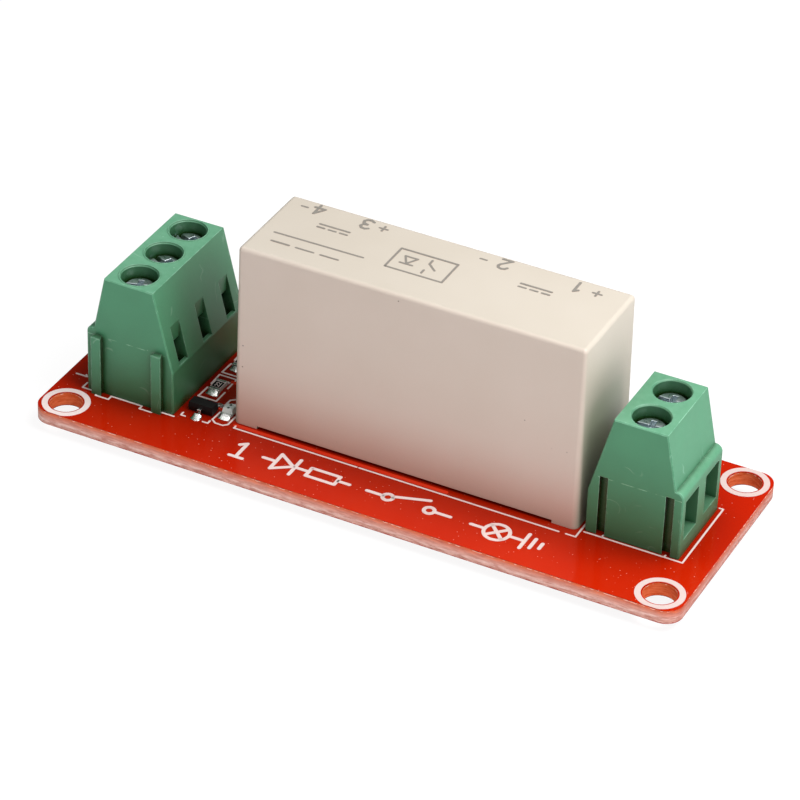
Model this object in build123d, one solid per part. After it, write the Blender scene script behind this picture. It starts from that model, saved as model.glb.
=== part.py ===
from build123d import *
import os
from math import radians, tan

# Single-channel solid-state relay board. All lengths are in millimetres.
# The origin is the centre of the four mounting holes, on the underside of the board.
# +X runs along the board towards the two-way output terminal, +Z points up from the board.

# Circuit board
board_thickness = 1.6
mounting_hole_diameter = 3.6
hole_edge_margin = 2.5
hole_end_margin = 2.8
board_corner_radius = 1.9
pin_tail = 1.2

# Row of parts along the board
hole_to_terminal_front = 0.63
hole_to_terminal_end = 3.28
relay_to_output = 0.67
transistor_to_input = 0.9
led_to_transistor = 0.5
led_to_relay = 0.5
resistor_to_input = 1.0
terminal_row_y = 0.1
relay_row_y = 0.84

# Terminal housing, seen from its end: back face at x = 0, wire entries at x = block_depth
input_poles = 3
output_poles = 2
terminal_pitch = 5.08
end_relief = 0.1
block_depth = 10.3
block_height = 14.3
knee_height = 5.1
back_lean = 2.34
top_width = 5.81
shoulder_depth = 0.85
shoulder_height = 8.0
shoulder_radius = 0.75
housing_edge_radius = 0.12

# Dovetails that join neighbouring housings
rib_centres = (1.7, 8.9)
rib_height = 7.15
rib_neck = 0.8
rib_head = 1.15
rib_reach = 0.65
groove_clearance = 0.05

# Screw well and shelf of each pole
screw_axis_x = 5.3
well_diameter = 3.9
well_chamfer = 0.15
head_below_top = 1.3
shelf_thickness = 0.9
shank_hole_clearance = 0.15

# Clamp space, wire entry and rear pocket of each pole
cage_space_width = 3.8
cage_space_back = 2.8
cage_space_front = 7.8
leg_slot_width = 2.8
leg_slot_back = 1.7
leg_slot_height = 7.9
entry_width = 3.3
entry_inner_width = 2.8
entry_sill = 1.95
entry_height = 4.65
entry_inner_height = 4.2
pocket_width = 1.8
pocket_depth = 1.17
pocket_floor = 5.3
pocket_top = 9.7
port_depth = 0.5
port_bottom = 4.2
port_top = 7.7

# Clamp screw and rising cage
thread_diameter = 2.5
screw_head_diameter = 3.4
screw_head_height = 1.8
screw_head_chamfer = 0.2
slot_width = 0.6
slot_depth = 0.9
cross_length = 2.2
head_running_clearance = 0.02
tip_to_tongue = 0.2
cage_thread_clearance = 0.05
cage_side_clearance = 0.1
cage_length = 4.4
cage_side_wall = 0.55
cage_bar = 0.8
cage_roof = 1.5
cage_corner_flat = 0.35
cage_to_tongue = 0.2

# Terminal contact: a bent strip with its solder pin
contact_thickness = 0.7
contact_width = 2.2
tongue_underside = 4.6
tongue_end_gap = 0.2
contact_bend_radius = 0.3
terminal_pin_width = 1.0
terminal_pin_hole = 1.4

# Slots of the screws as they stand, in degrees from +X, input block first
screw_slot_angles = (18, -24, -25, 5, -1)

# Relay
relay_length = 39.45
relay_width = 12.4
relay_height = 21.4
relay_draft = 0.78
relay_wall = 1.2
relay_corner_radius = 0.7
relay_top_radius = 0.45
relay_foot_height = 0.35
relay_foot_length = 2.8
relay_foot_width = 2.2
potting_recess = 1.2
control_pins_from_end = (4.05, 9.13)
load_pins_from_end = (13.95, 6.33)
relay_pin_width = 1.0
relay_pin_thickness = 0.6
relay_pin_hole = 1.3
relay_pin_overlap = 3.0
card_to_case_ends = 1.45
relay_card_height = 14.0
relay_card_thickness = 1.0
relay_card_lift = 1.5
coupler_length = 6.5
coupler_height = 4.6
coupler_to_case = 0.5
coupler_from_end = 10.65
power_length = 6.6
power_height = 6.1
power_thickness = 2.3
power_tab_height = 1.1
power_tab_length = 5.2
power_tab_thickness = 0.5
power_from_end = 12.65

# Solder below the board
solder_pad_margin = 0.5
solder_climb = 0.9
solder_neck = 0.12

# Small outline transistor
transistor_length = 2.9
transistor_width = 1.3
transistor_height = 1.1
transistor_standoff = 0.1
transistor_draft = 7
transistor_y = -5.15
lead_width = 0.42
lead_thickness = 0.15
lead_shoulder = 0.15
lead_foot = 0.25
lead_spacing = 0.95

# Chip resistors and indicator
chip_length = 2.0
resistor_width = 1.25
resistor_height = 0.5
chip_cap_length = 0.38
chip_plating = 0.05
resistor_1_y = -0.7
resistor_pitch = 5.1
led_width = 1.25
led_y = -4.08
led_base_height = 0.3
led_lens_length = 1.25
led_lens_height = 0.5
led_lens_draft = 10
led_lens_radius = 0.15
chip_solder_reach = 0.5
chip_solder_rise = 0.38
lead_solder_reach = 0.35
toe_hollow = 0.4


# Places worked out from the sizes above
input_length = input_poles * terminal_pitch - 2 * end_relief
parts_between = (transistor_to_input + transistor_length + led_to_transistor + led_width
                 + led_to_relay + relay_length + relay_to_output)
row_length = 2 * block_depth + parts_between
hole_spacing_x = row_length + 2 * hole_to_terminal_front
hole_spacing_y = input_length + 2 * hole_to_terminal_end
board_length = hole_spacing_x + 2 * hole_end_margin
board_width = hole_spacing_y + 2 * hole_edge_margin
input_back_x = block_depth - row_length / 2
output_back_x = row_length / 2 - block_depth
relay_x = output_back_x - relay_to_output - relay_length / 2
transistor_x = input_back_x + transistor_to_input + transistor_length / 2
led_x = relay_x - relay_length / 2 - led_to_relay - led_width / 2
resistor_x = input_back_x + resistor_to_input + resistor_width / 2
resistor_ys = (resistor_1_y, resistor_1_y + resistor_pitch)
relay_pin_offsets = ([distance - relay_length / 2 for distance in control_pins_from_end]
                     + [relay_length / 2 - distance for distance in load_pins_from_end])
relay_card_length = relay_length - 2 * (relay_wall + card_to_case_ends)
coupler_thickness = (relay_width / 2 - relay_wall - coupler_to_case
                     - relay_pin_thickness / 2 - relay_card_thickness)
coupler_x = coupler_from_end - relay_length / 2
power_x = relay_length / 2 - power_from_end

head_top = block_height - head_below_top
head_seat = head_top - screw_head_height
shelf_top = head_seat - head_running_clearance
cage_space_top = shelf_top - shelf_thickness
tongue_top = tongue_underside + contact_thickness
cage_bar_top = entry_sill
cage_roof_underside = tongue_top + cage_to_tongue
cage_bottom = cage_bar_top - cage_bar
cage_top = cage_roof_underside + cage_roof
cage_width = cage_space_width - 2 * cage_side_clearance
cage_back = screw_axis_x - cage_length / 2
tongue_end = cage_space_front - tongue_end_gap
pin_x = leg_slot_back + contact_thickness / 2


def block(x_range, y_range, z_range):
    """Box between two corners."""
    sizes = [high - low for low, high in (x_range, y_range, z_range)]
    centre = [(high + low) / 2 for low, high in (x_range, y_range, z_range)]
    return Pos(*centre) * Box(*sizes)


def centred(width):
    """Range of a width that is centred on zero."""
    return (-width / 2, width / 2)


def pole_ys(poles):
    """Distance of each pole from the middle of its housing."""
    return [(number - (poles - 1) / 2) * terminal_pitch for number in range(poles)]


def terminal_places():
    """Every pole's place on the board: its plane's origin on the board top, and its turn about Z."""
    input_places = [(input_back_x, terminal_row_y + y, 180) for y in pole_ys(input_poles)]
    output_places = [(output_back_x, terminal_row_y + y, 0) for y in pole_ys(output_poles)]
    return [Pos(x, y, board_thickness) * Rot(0, 0, turn) for x, y, turn in input_places + output_places]


# Terminal housing
def housing_prism(length):
    """Side profile with its rounded shoulder, extruded along the row of poles."""
    profile = make_face(Polyline(
        (0, 0), (block_depth, 0), (block_depth, shoulder_height),
        (block_depth - shoulder_depth, shoulder_height), (back_lean + top_width, block_height),
        (back_lean, block_height), (0, knee_height), close=True))
    shoulder = profile.vertices().sort_by_distance((block_depth, shoulder_height, 0))[0]
    profile = fillet(shoulder, shoulder_radius)
    prism = extrude(Plane.XZ * profile, length / 2, both=True)
    end_edges = prism.faces().sort_by(Axis.Y)[0].edges() + prism.faces().sort_by(Axis.Y)[-1].edges()
    rounded = [edge for edge in end_edges if edge.center().Z > housing_edge_radius]
    return chamfer(rounded, housing_edge_radius)


def dovetail(neck, head, reach):
    """Upright dovetail with its neck on y = 0 and its head at y = reach."""
    outline = make_face(Polyline(
        (-neck / 2, 0), (neck / 2, 0), (head / 2, reach), (-head / 2, reach), close=True))
    return extrude(outline, rib_height, dir=(0, 0, 1))


def pole_cutters():
    """Everything that is moulded out of the housing at one pole."""
    well = Pos(screw_axis_x, 0, (shelf_top + block_height) / 2) * Cylinder(
        well_diameter / 2, block_height - shelf_top)
    mouth = Pos(screw_axis_x, 0, block_height - well_chamfer / 2) * Cone(
        well_diameter / 2, well_diameter / 2 + well_chamfer, well_chamfer)
    shank_hole = Pos(screw_axis_x, 0, (cage_space_top + shelf_top) / 2) * Cylinder(
        thread_diameter / 2 + shank_hole_clearance, shelf_top - cage_space_top)
    cage_space = block((cage_space_back, cage_space_front), centred(cage_space_width), (0, cage_space_top))
    leg_slot = block((leg_slot_back, cage_space_back), centred(leg_slot_width), (0, leg_slot_height))
    outer = Plane.YZ.offset(block_depth) * Pos(0, entry_sill + entry_height / 2) * Rectangle(
        entry_width, entry_height)
    inner = Plane.YZ.offset(cage_space_front) * Pos(0, entry_sill + entry_inner_height / 2) * Rectangle(
        entry_inner_width, entry_inner_height)
    entry = loft([inner, outer])
    pocket = block((0, pocket_depth), centred(pocket_width), (pocket_floor, pocket_top))
    port = block((port_depth, leg_slot_back), centred(pocket_width), (port_bottom, port_top))
    return [well, mouth, shank_hole, cage_space, leg_slot, entry, pocket, port]


def terminal_housing(poles):
    """Housing with ribs on its +Y end and the grooves that take such ribs on its -Y end."""
    length = poles * terminal_pitch - 2 * end_relief
    body = housing_prism(length)
    for centre in rib_centres:
        body += Pos(centre, length / 2, 0) * dovetail(rib_neck, rib_head, rib_reach)
    groove = dovetail(rib_neck + 2 * groove_clearance, rib_head + 2 * groove_clearance,
                      rib_reach + groove_clearance)
    cutters = [Pos(centre, -length / 2, 0) * groove for centre in rib_centres]
    for y in pole_ys(poles):
        cutters += [Pos(0, y, 0) * cutter for cutter in pole_cutters()]
    return body - cutters


# Clamp of one pole, in the housing's own frame
def clamp_screw(slot_angle):
    """Cheese-head screw with a cross and slot recess."""
    head = Pos(screw_axis_x, 0, head_seat) * Cylinder(
        screw_head_diameter / 2, screw_head_height, align=(Align.CENTER, Align.CENTER, Align.MIN))
    head = chamfer(head.faces().sort_by(Axis.Z)[-1].edges(), screw_head_chamfer)
    tip = tongue_top + tip_to_tongue
    shank = Pos(screw_axis_x, 0, tip) * Cylinder(
        thread_diameter / 2, head_seat - tip, align=(Align.CENTER, Align.CENTER, Align.MIN))
    turn = Pos(screw_axis_x, 0, head_top - slot_depth / 2) * Rot(0, 0, slot_angle)
    slot = turn * Box(screw_head_diameter, slot_width, slot_depth)
    cross = turn * Box(slot_width, cross_length, slot_depth)
    return head + shank - slot - cross


def clamp_cage():
    """Closed loop that the screw draws up: a threaded roof, two sides and the bar under the wire."""
    place = Plane.YZ.offset(cage_back)
    outline = Rectangle(cage_width, cage_top - cage_bottom)
    outer = place * Pos(0, (cage_bottom + cage_top) / 2) * chamfer(outline.vertices(), cage_corner_flat)
    inner = place * Pos(0, (cage_bar_top + cage_roof_underside) / 2) * Rectangle(
        cage_width - 2 * cage_side_wall, cage_roof_underside - cage_bar_top)
    loop = extrude(outer - inner, cage_length, dir=(1, 0, 0))
    thread = Pos(screw_axis_x, 0, cage_top - cage_roof / 2) * Cylinder(
        thread_diameter / 2 + cage_thread_clearance, cage_roof)
    return loop - thread


def terminal_contact():
    """Strip with its tongue inside the cage, bent down at the back wall to a solder pin."""
    inner_x = leg_slot_back + contact_thickness
    profile = make_face(Polyline(
        (leg_slot_back, 0), (inner_x, 0), (inner_x, tongue_underside), (tongue_end, tongue_underside),
        (tongue_end, tongue_top), (leg_slot_back, tongue_top), close=True))
    inner_bend = profile.vertices().sort_by_distance((inner_x, tongue_underside, 0))[0]
    profile = fillet(inner_bend, contact_bend_radius)
    outer_bend = profile.vertices().sort_by_distance((leg_slot_back, tongue_top, 0))[0]
    profile = fillet(outer_bend, contact_bend_radius + contact_thickness)
    strip = extrude(Plane.XZ * profile, contact_width / 2, both=True)
    pin = block((leg_slot_back, inner_x), centred(terminal_pin_width), (-board_thickness - pin_tail, 0))
    return strip + pin


# Relay, in a frame whose origin is on the board top under the middle of the case
def drafted(outline, low, high):
    """Block with the relay's draft on its sides: the outline is that at low."""
    return Pos(0, 0, low) * extrude(outline, high - low, dir=(0, 0, 1), taper=relay_draft)


def case_hollow(low):
    """Inside of the case from a height up to the ceiling, with the same draft as the outside."""
    shrink = 2 * (relay_wall + low * tan(radians(relay_draft)))
    return drafted(Rectangle(relay_length - shrink, relay_width - shrink), low, relay_height - relay_wall)


def relay_case():
    """Open-bottomed moulded case that stands on four corner feet."""
    shell = drafted(RectangleRounded(relay_length, relay_width, relay_corner_radius), 0, relay_height)
    shell = fillet(shell.faces().sort_by(Axis.Z)[-1].edges(), relay_top_radius)
    gap = (0, relay_foot_height)
    between_feet = [
        block(centred(relay_length - 2 * relay_foot_length), centred(relay_width), gap),
        block(centred(relay_length), centred(relay_width - 2 * relay_foot_width), gap)]
    return shell - case_hollow(0) - between_feet


def relay_pins():
    """Four flat pins from the card down through the board."""
    top = relay_foot_height + potting_recess + relay_card_lift + relay_pin_overlap
    return [block((x - relay_pin_width / 2, x + relay_pin_width / 2), centred(relay_pin_thickness),
                  (-board_thickness - pin_tail, top)) for x in relay_pin_offsets]


def relay_inner_parts():
    """Card behind the pins, with the optocoupler and the power transistor on its far face."""
    card_face = -relay_pin_thickness / 2
    part_face = card_face - relay_card_thickness
    card_low = relay_foot_height + potting_recess + relay_card_lift
    card_middle = card_low + relay_card_height / 2
    card = block(centred(relay_card_length), (part_face, card_face),
                 (card_low, card_low + relay_card_height))
    coupler = block((coupler_x - coupler_length / 2, coupler_x + coupler_length / 2),
                    (part_face - coupler_thickness, part_face),
                    (card_middle - coupler_height / 2, card_middle + coupler_height / 2))
    power_top = card_middle + power_height / 2
    power = block((power_x - power_length / 2, power_x + power_length / 2),
                  (part_face - power_thickness, part_face), (card_middle - power_height / 2, power_top))
    power += block((power_x - power_tab_length / 2, power_x + power_tab_length / 2),
                   (part_face - power_tab_thickness, part_face), (power_top, power_top + power_tab_height))
    return card, coupler, power


def relay_potting(embedded):
    """Resin that fills the case round everything in it, up to a level above the rim."""
    return case_hollow(relay_foot_height + potting_recess) - embedded


# Solder and board
def solder_joint(hole_diameter, pin):
    """Solder that fills a plated hole and climbs the pin's tail, in the frame of the board top."""
    hole_radius = hole_diameter / 2
    in_hole = Pos(0, 0, -board_thickness / 2) * Cylinder(hole_radius, board_thickness)
    climb = Pos(0, 0, -board_thickness - solder_climb / 2) * Cone(
        hole_radius - solder_neck, hole_radius + solder_pad_margin, solder_climb)
    return in_hole + climb - pin


def circuit_board(pin_holes):
    """Board with its mounting holes and a drilled hole for each pin."""
    outline = RectangleRounded(board_length, board_width, board_corner_radius)
    board = extrude(outline, board_thickness, dir=(0, 0, 1))
    holes = [Pos(x * hole_spacing_x / 2, y * hole_spacing_y / 2, board_thickness / 2)
             * Cylinder(mounting_hole_diameter / 2, board_thickness) for x in (-1, 1) for y in (-1, 1)]
    holes += [Pos(place.position.X, place.position.Y, board_thickness / 2)
              * Cylinder(diameter / 2, board_thickness) for place, diameter in pin_holes]
    return board - holes


# Surface-mounted parts, in a frame whose origin is on the board top under the part's middle
def small_transistor():
    """Moulded body, widest at the height of its leads, and three bent leads."""
    lead_height = (transistor_standoff + transistor_height) / 2
    outline = Pos(0, 0, lead_height) * Rectangle(transistor_length, transistor_width)
    upper = extrude(outline, transistor_height - lead_height, dir=(0, 0, 1), taper=transistor_draft)
    lower = extrude(outline, lead_height - transistor_standoff, dir=(0, 0, -1), taper=transistor_draft)
    leads = []
    for x, side in ((0, -1), (-lead_spacing, 1), (lead_spacing, 1)):
        reach = lead_shoulder + lead_thickness
        lead_top = lead_height + lead_thickness / 2
        lead_low = lead_height - lead_thickness / 2
        profile = make_face(Polyline(
            (0, lead_low), (lead_shoulder, lead_low), (lead_shoulder, 0), (reach + lead_foot, 0),
            (reach + lead_foot, lead_thickness), (reach, lead_thickness), (reach, lead_top), (0, lead_top),
            close=True))
        lead = extrude(Plane.YZ * profile, lead_width / 2, both=True)
        turn = 0 if side > 0 else 180
        leads.append(Pos(x, side * transistor_width / 2, 0) * Rot(0, 0, turn) * lead)
    return upper + lower, leads


def end_caps(width, height):
    """Two plated ends that wrap over the top, the end and the underside of a chip."""
    caps = []
    for turn in (0, 180):
        cap = block(centred(width), (chip_length / 2 - chip_cap_length, chip_length / 2), (0, height))
        cap -= block(centred(width), (chip_length / 2 - chip_cap_length, chip_length / 2 - chip_plating),
                     (chip_plating, height - chip_plating))
        caps.append(Rot(0, 0, turn) * cap)
    return caps


def chip_body(width, height):
    """Ceramic or laminate slab held between the plated ends."""
    return block(centred(width), centred(chip_length - 2 * chip_plating),
                 (chip_plating, height - chip_plating))


def led_lens():
    """Clear moulded lens on the indicator's base, between its plated ends."""
    outline = Pos(0, 0, led_base_height - chip_plating) * Rectangle(
        led_width, led_lens_length - 2 * chip_plating)
    lens = extrude(outline, led_lens_height + chip_plating, dir=(0, 0, 1), taper=led_lens_draft)
    return fillet(lens.faces().sort_by(Axis.Z)[-1].edges(), led_lens_radius)


def toe_fillet(width, reach, rise):
    """Hollow-faced solder between the board and the end of a part at y = 0."""
    sides = Polyline((0, rise), (0, 0), (reach, 0))
    curve = ThreePointArc((reach, 0), (reach * toe_hollow, rise * toe_hollow), (0, rise))
    face = Plane.YZ * make_face(sides.edges() + curve.edges())
    return extrude(face, width / 2, both=True)


def chip_solder(width):
    """Solder at both ends of a chip."""
    toe = Pos(0, chip_length / 2, 0) * toe_fillet(width, chip_solder_reach, chip_solder_rise)
    return [toe, Rot(0, 0, 180) * toe]


def transistor_solder():
    """Solder at the toe of each lead."""
    toe = toe_fillet(lead_width, lead_solder_reach, lead_thickness)
    reach = transistor_width / 2 + lead_shoulder + lead_thickness + lead_foot
    return [Pos(0, -reach, 0) * Rot(0, 0, 180) * toe, Pos(-lead_spacing, reach, 0) * toe,
            Pos(lead_spacing, reach, 0) * toe]


def build():
    """Every node's shape by name, in the board's frame."""
    top = Pos(0, 0, board_thickness)
    places = terminal_places()
    contact = terminal_contact()
    cage = clamp_cage()
    nodes = {
        "input_terminal_housing": Pos(input_back_x, terminal_row_y, board_thickness) * Rot(0, 0, 180)
        * terminal_housing(input_poles),
        "output_terminal_housing": Pos(output_back_x, terminal_row_y, board_thickness)
        * terminal_housing(output_poles)}
    for number, (place, angle) in enumerate(zip(places, screw_slot_angles), 1):
        nodes[f"terminal_screw_{number}"] = place * clamp_screw(angle)
        nodes[f"clamp_cage_{number}"] = place * cage
        nodes[f"terminal_contact_{number}"] = place * contact
    relay_place = Pos(relay_x, relay_row_y, board_thickness)
    pins = relay_pins()
    card, coupler, power = relay_inner_parts()
    nodes["relay_case"] = relay_place * relay_case()
    nodes["relay_potting"] = relay_place * relay_potting([card, coupler, power] + pins)
    nodes["relay_card"] = relay_place * card
    nodes["relay_optocoupler"] = relay_place * coupler
    nodes["relay_power_transistor"] = relay_place * power
    for number, pin in enumerate(reversed(pins), 1):
        nodes[f"relay_pin_{number}"] = relay_place * pin

    relay_holes = [relay_place * Pos(x, 0, 0) for x in relay_pin_offsets]
    terminal_holes = [place * Pos(pin_x, 0, 0) for place in places]
    pin_holes = [(place, relay_pin_hole) for place in relay_holes]
    pin_holes += [(place, terminal_pin_hole) for place in terminal_holes]
    nodes["circuit_board"] = circuit_board(pin_holes)
    terminal_joint = solder_joint(terminal_pin_hole, Pos(-pin_x, 0, 0) * contact)
    relay_joint = solder_joint(relay_pin_hole, Pos(-relay_pin_offsets[0], 0, 0) * pins[0])
    nodes["terminal_solder_joints"] = [place * terminal_joint for place in terminal_holes]
    nodes["relay_solder_joints"] = [place * relay_joint for place in relay_holes]

    body, leads = small_transistor()
    transistor_place = top * Pos(transistor_x, transistor_y, 0)
    nodes["transistor_body"] = transistor_place * body
    nodes["transistor_leads"] = [transistor_place * lead for lead in leads]
    small_solder = [transistor_place * toe for toe in transistor_solder()]
    for number, y in enumerate(resistor_ys, 1):
        place = top * Pos(resistor_x, y, 0)
        nodes[f"chip_resistor_{number}"] = place * chip_body(resistor_width, resistor_height)
        caps = end_caps(resistor_width, resistor_height)
        nodes[f"chip_resistor_{number}_caps"] = [place * cap for cap in caps]
        small_solder += [place * toe for toe in chip_solder(resistor_width)]
    led_place = top * Pos(led_x, led_y, 0)
    nodes["indicator_base"] = led_place * chip_body(led_width, led_base_height)
    nodes["indicator_caps"] = [led_place * cap for cap in end_caps(led_width, led_base_height)]
    nodes["indicator_lens"] = led_place * led_lens()
    small_solder += [led_place * toe for toe in chip_solder(led_width)]
    nodes["small_part_solder"] = small_solder
    return nodes


os.makedirs("parts", exist_ok=True)
for name, shape in build().items():
    solids = shape if isinstance(shape, list) else [shape]
    found = [solid for item in solids for solid in item.solids()]
    export_step(found[0] if len(found) == 1 else Compound(found), f"parts/{name}.step")
    print(name, len(found), "solid(s)", round(sum(solid.volume for solid in found), 2), "mm3")
print("board", round(board_length, 2), "x", round(board_width, 2), "mm, holes",
      round(hole_spacing_x, 2), "x", round(hole_spacing_y, 2), "mm")
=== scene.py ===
# %% [markdown]
# # Relay module board
# A lesson in dressing a CAD model. The solids of the board come from CAD and stay as they are. This
# notebook gives them their materials and adds what is too fine for CAD: ink, screw threads, solder,
# copper tracks and the small marks of use. Everything is in metres, in the frame of the CAD model.

import math

import bpy
from mathutils import Matrix, Vector


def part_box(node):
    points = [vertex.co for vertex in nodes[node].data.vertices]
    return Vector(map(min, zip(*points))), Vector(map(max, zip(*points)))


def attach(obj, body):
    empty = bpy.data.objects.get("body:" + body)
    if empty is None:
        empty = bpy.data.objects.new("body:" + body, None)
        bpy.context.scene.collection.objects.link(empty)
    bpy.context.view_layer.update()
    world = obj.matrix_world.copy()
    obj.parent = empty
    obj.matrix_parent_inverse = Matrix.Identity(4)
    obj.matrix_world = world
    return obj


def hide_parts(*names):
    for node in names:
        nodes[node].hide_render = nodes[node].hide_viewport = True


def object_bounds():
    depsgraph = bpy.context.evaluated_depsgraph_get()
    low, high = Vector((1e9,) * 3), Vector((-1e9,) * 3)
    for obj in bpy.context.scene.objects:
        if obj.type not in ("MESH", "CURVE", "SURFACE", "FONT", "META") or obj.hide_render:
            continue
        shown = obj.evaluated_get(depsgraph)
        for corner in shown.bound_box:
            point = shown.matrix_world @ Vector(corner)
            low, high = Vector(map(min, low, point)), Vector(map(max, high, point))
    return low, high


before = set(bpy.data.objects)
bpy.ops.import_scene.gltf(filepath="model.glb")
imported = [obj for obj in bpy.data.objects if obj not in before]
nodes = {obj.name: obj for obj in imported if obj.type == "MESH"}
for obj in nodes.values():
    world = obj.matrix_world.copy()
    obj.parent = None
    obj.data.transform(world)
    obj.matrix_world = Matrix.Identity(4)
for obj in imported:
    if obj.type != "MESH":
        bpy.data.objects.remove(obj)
cad_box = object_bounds()
MM = 0.001
board_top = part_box("circuit_board")[1].z
print(len(nodes), "CAD nodes, board top at", round(board_top / MM, 2), "mm")

# %% [markdown]
# ## Small helpers
# Colours are written as sRGB hex values, as a paint chart gives them, and Blender computes with linear
# light, so one function turns the first into the second. Node trees get long when each node takes five
# lines, so one function adds a node with its settings and its links. Patterns are sized in millimetres:
# a noise texture's scale is how many features fit into a metre.

# %% Colours and nodes
def linear(hex_colour):
    """Linear RGBA of an sRGB hex colour."""
    channels = [int(hex_colour[i:i + 2], 16) / 255 for i in (1, 3, 5)]
    return (*(c / 12.92 if c <= 0.04045 else ((c + 0.055) / 1.055) ** 2.4 for c in channels), 1.0)


def handed_on(value):
    """The first output in use, if the value is a node."""
    return next(o for o in value.outputs if o.enabled) if isinstance(value, bpy.types.Node) else value


def add(tree, kind, sockets=None, **settings):
    """Adds a node: settings first, then what each socket gets, a value, a node's output or a list of them."""
    node = tree.nodes.new(kind)
    for name, value in settings.items():
        setattr(node, name, value)
    for key, given in (sockets or {}).items():
        for value in map(handed_on, given if isinstance(given, list) else [given]):
            if isinstance(value, bpy.types.NodeSocket):
                tree.links.new(value, node.inputs[key])
            else:
                node.inputs[key].default_value = value
    return node


def per_mm(size):
    """Texture scale of features that are this many millimetres across."""
    return 1 / (size * MM)


print("mid grey #808080 is", round(linear("#808080")[0], 3), "in linear light")

# %% [markdown]
# ## A material's skeleton
# Every finish here is a Principled surface. Values that are the same all over, such as the IOR, are
# set on its sockets, and only what varies over the surface is fed by nodes.

# %% Start a material
def start_material(name, **values):
    """A new material's tree, its Principled surface and the object's own coordinates."""
    material = bpy.data.materials.new(name)
    material.use_nodes = True
    tree = material.node_tree
    tree.nodes.clear()
    surface = add(tree, "ShaderNodeBsdfPrincipled")
    for label, value in values.items():
        surface.inputs[label.replace("_", " ")].default_value = value
    add(tree, "ShaderNodeOutputMaterial", {"Surface": surface})
    return material, tree, surface, add(tree, "ShaderNodeTexCoord").outputs["Object"]


def feed(tree, surface, **sources):
    """Links nodes to the surface's sockets."""
    for label, source in sources.items():
        tree.links.new(handed_on(source), surface.inputs[label.replace("_", " ")])


print("a material is a tree that ends in one surface")

# %% [markdown]
# ## Patterns that the finishes share
# Moulded, printed and plated surfaces differ in size and tone, but they are made of a few patterns, so
# each pattern is a function. Pigment is cloudy: a noise picks between two near tones. Specks are the
# middles of Voronoi cells, and a test on the cell's own random colour keeps only some of them. What is
# rubbed, frayed or broken is a noise whose middle levels are stretched. Ambient occlusion says how near
# the neighbours stand. Grain is a bump, and under it a Bevel node rounds the edges in the shading
# alone, because the CAD edges are sharp. Real mould grain is finer than a pixel here, so it is drawn
# about a tenth of a millimetre wide.

# %% Shared patterns
RAYS = 8


def clouded(tree, place, size, dark, pale, detail=2.0):
    """A noise with clouds of a size in mm, and the tone between two hex colours that it picks."""
    cloud = add(tree, "ShaderNodeTexNoise", {"Vector": place, "Scale": per_mm(size), "Detail": detail})
    return cloud, add(tree, "ShaderNodeMix", {0: cloud, 6: linear(dark), 7: linear(pale)}, data_type="RGBA")


def specks(tree, place, spacing, rim, core, above, most=1.0):
    """Mask of round specks in cells of a size in mm. Rim and core are shares of a cell."""
    cells = add(tree, "ShaderNodeTexVoronoi", {"Vector": place, "Scale": per_mm(spacing)})
    speck = add(tree, "ShaderNodeMapRange", {"Value": cells, "From Min": rim, "From Max": core,
                                             "To Max": most})
    chance = add(tree, "ShaderNodeSeparateColor", {0: cells.outputs["Color"]})
    kept = add(tree, "ShaderNodeMath", {0: chance, 1: above}, operation="GREATER_THAN")
    return add(tree, "ShaderNodeMath", {0: speck, 1: kept}, operation="MULTIPLY")


def ragged(tree, place, size, detail, low, high, least=0.0, most=1.0):
    """A noise of a size in mm, and the same stretched: least at the low level, most at the high one."""
    noise = add(tree, "ShaderNodeTexNoise", {"Vector": place, "Scale": per_mm(size), "Detail": detail})
    return noise, add(tree, "ShaderNodeMapRange", {"Value": noise, "From Min": low, "From Max": high,
                                                   "To Min": least, "To Max": most})


def openness(tree, reach, closed, clear, least):
    """1 where nothing stands within a reach in mm, and the least value where neighbours close it in."""
    sky = add(tree, "ShaderNodeAmbientOcclusion", {"Distance": reach * MM}, samples=RAYS)
    return add(tree, "ShaderNodeMapRange", {"Value": sky.outputs["AO"], "From Min": closed, "From Max": clear,
                                            "To Min": least})


def grained(tree, height, strength, depth, edge=None):
    """Bump of a depth in mm over edges that look rounded to a radius in mm."""
    bumps = add(tree, "ShaderNodeBump", {"Strength": strength, "Distance": depth * MM, "Height": height})
    if edge:
        rounded = add(tree, "ShaderNodeBevel", {"Radius": edge * MM}, samples=RAYS)
        tree.links.new(handed_on(rounded), bumps.inputs["Normal"])
    return bumps


print("five patterns, with", RAYS, "rays for each look around")

# %% [markdown]
# ## Moulded green polyamide
# The terminal housings are injection-moulded nylon. The mould leaves a satin skin with very fine
# grain, edges that catch the light because they are rounded by about a tenth of a millimetre, and
# faint cloudiness in the pigment. The edges are painted paler in patches, as wear from handling and a
# painted highlight. Handling adds pale specks and short curved scuffs, which are the lines where a slow
# noise crosses its middle value. The mould's two halves meet in a hairline on the ends of each block,
# 7 mm above the board, and the broken pale line painted there is a painted highlight on the seam.

# %% Green polyamide: worn and highlit edges, specks and scuffs
green_nylon, tree, surface, place = start_material("moulded_green_nylon", IOR=1.53)
cloud, body = clouded(tree, place, 4, "#3F8660", "#4C976F", detail=3.0)
edge_round = add(tree, "ShaderNodeBevel", {"Radius": 0.12 * MM}, samples=RAYS)
true_face = add(tree, "ShaderNodeNewGeometry")
facing = add(tree, "ShaderNodeVectorMath", {0: edge_round, 1: true_face.outputs["Normal"]},
             operation="DOT_PRODUCT")
# Painted highlight and wear: the edges are mixed towards a paler green in patches.
on_edge = add(tree, "ShaderNodeMapRange", {"Value": facing, "From Min": 0.995, "From Max": 0.85})
patch_noise, patchy = ragged(tree, place, 0.7, 2.0, low=0.35, high=0.6, least=0.15)
worn_and_highlit_edges = add(tree, "ShaderNodeMath", {0: on_edge, 1: patchy}, operation="MULTIPLY")
dust = specks(tree, place, 1.3, rim=0.07, core=0.03, above=0.72)
sweep = add(tree, "ShaderNodeTexNoise", {"Vector": place, "Scale": per_mm(2.6), "Detail": 0.0,
                                         "Distortion": 0.6})
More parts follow.
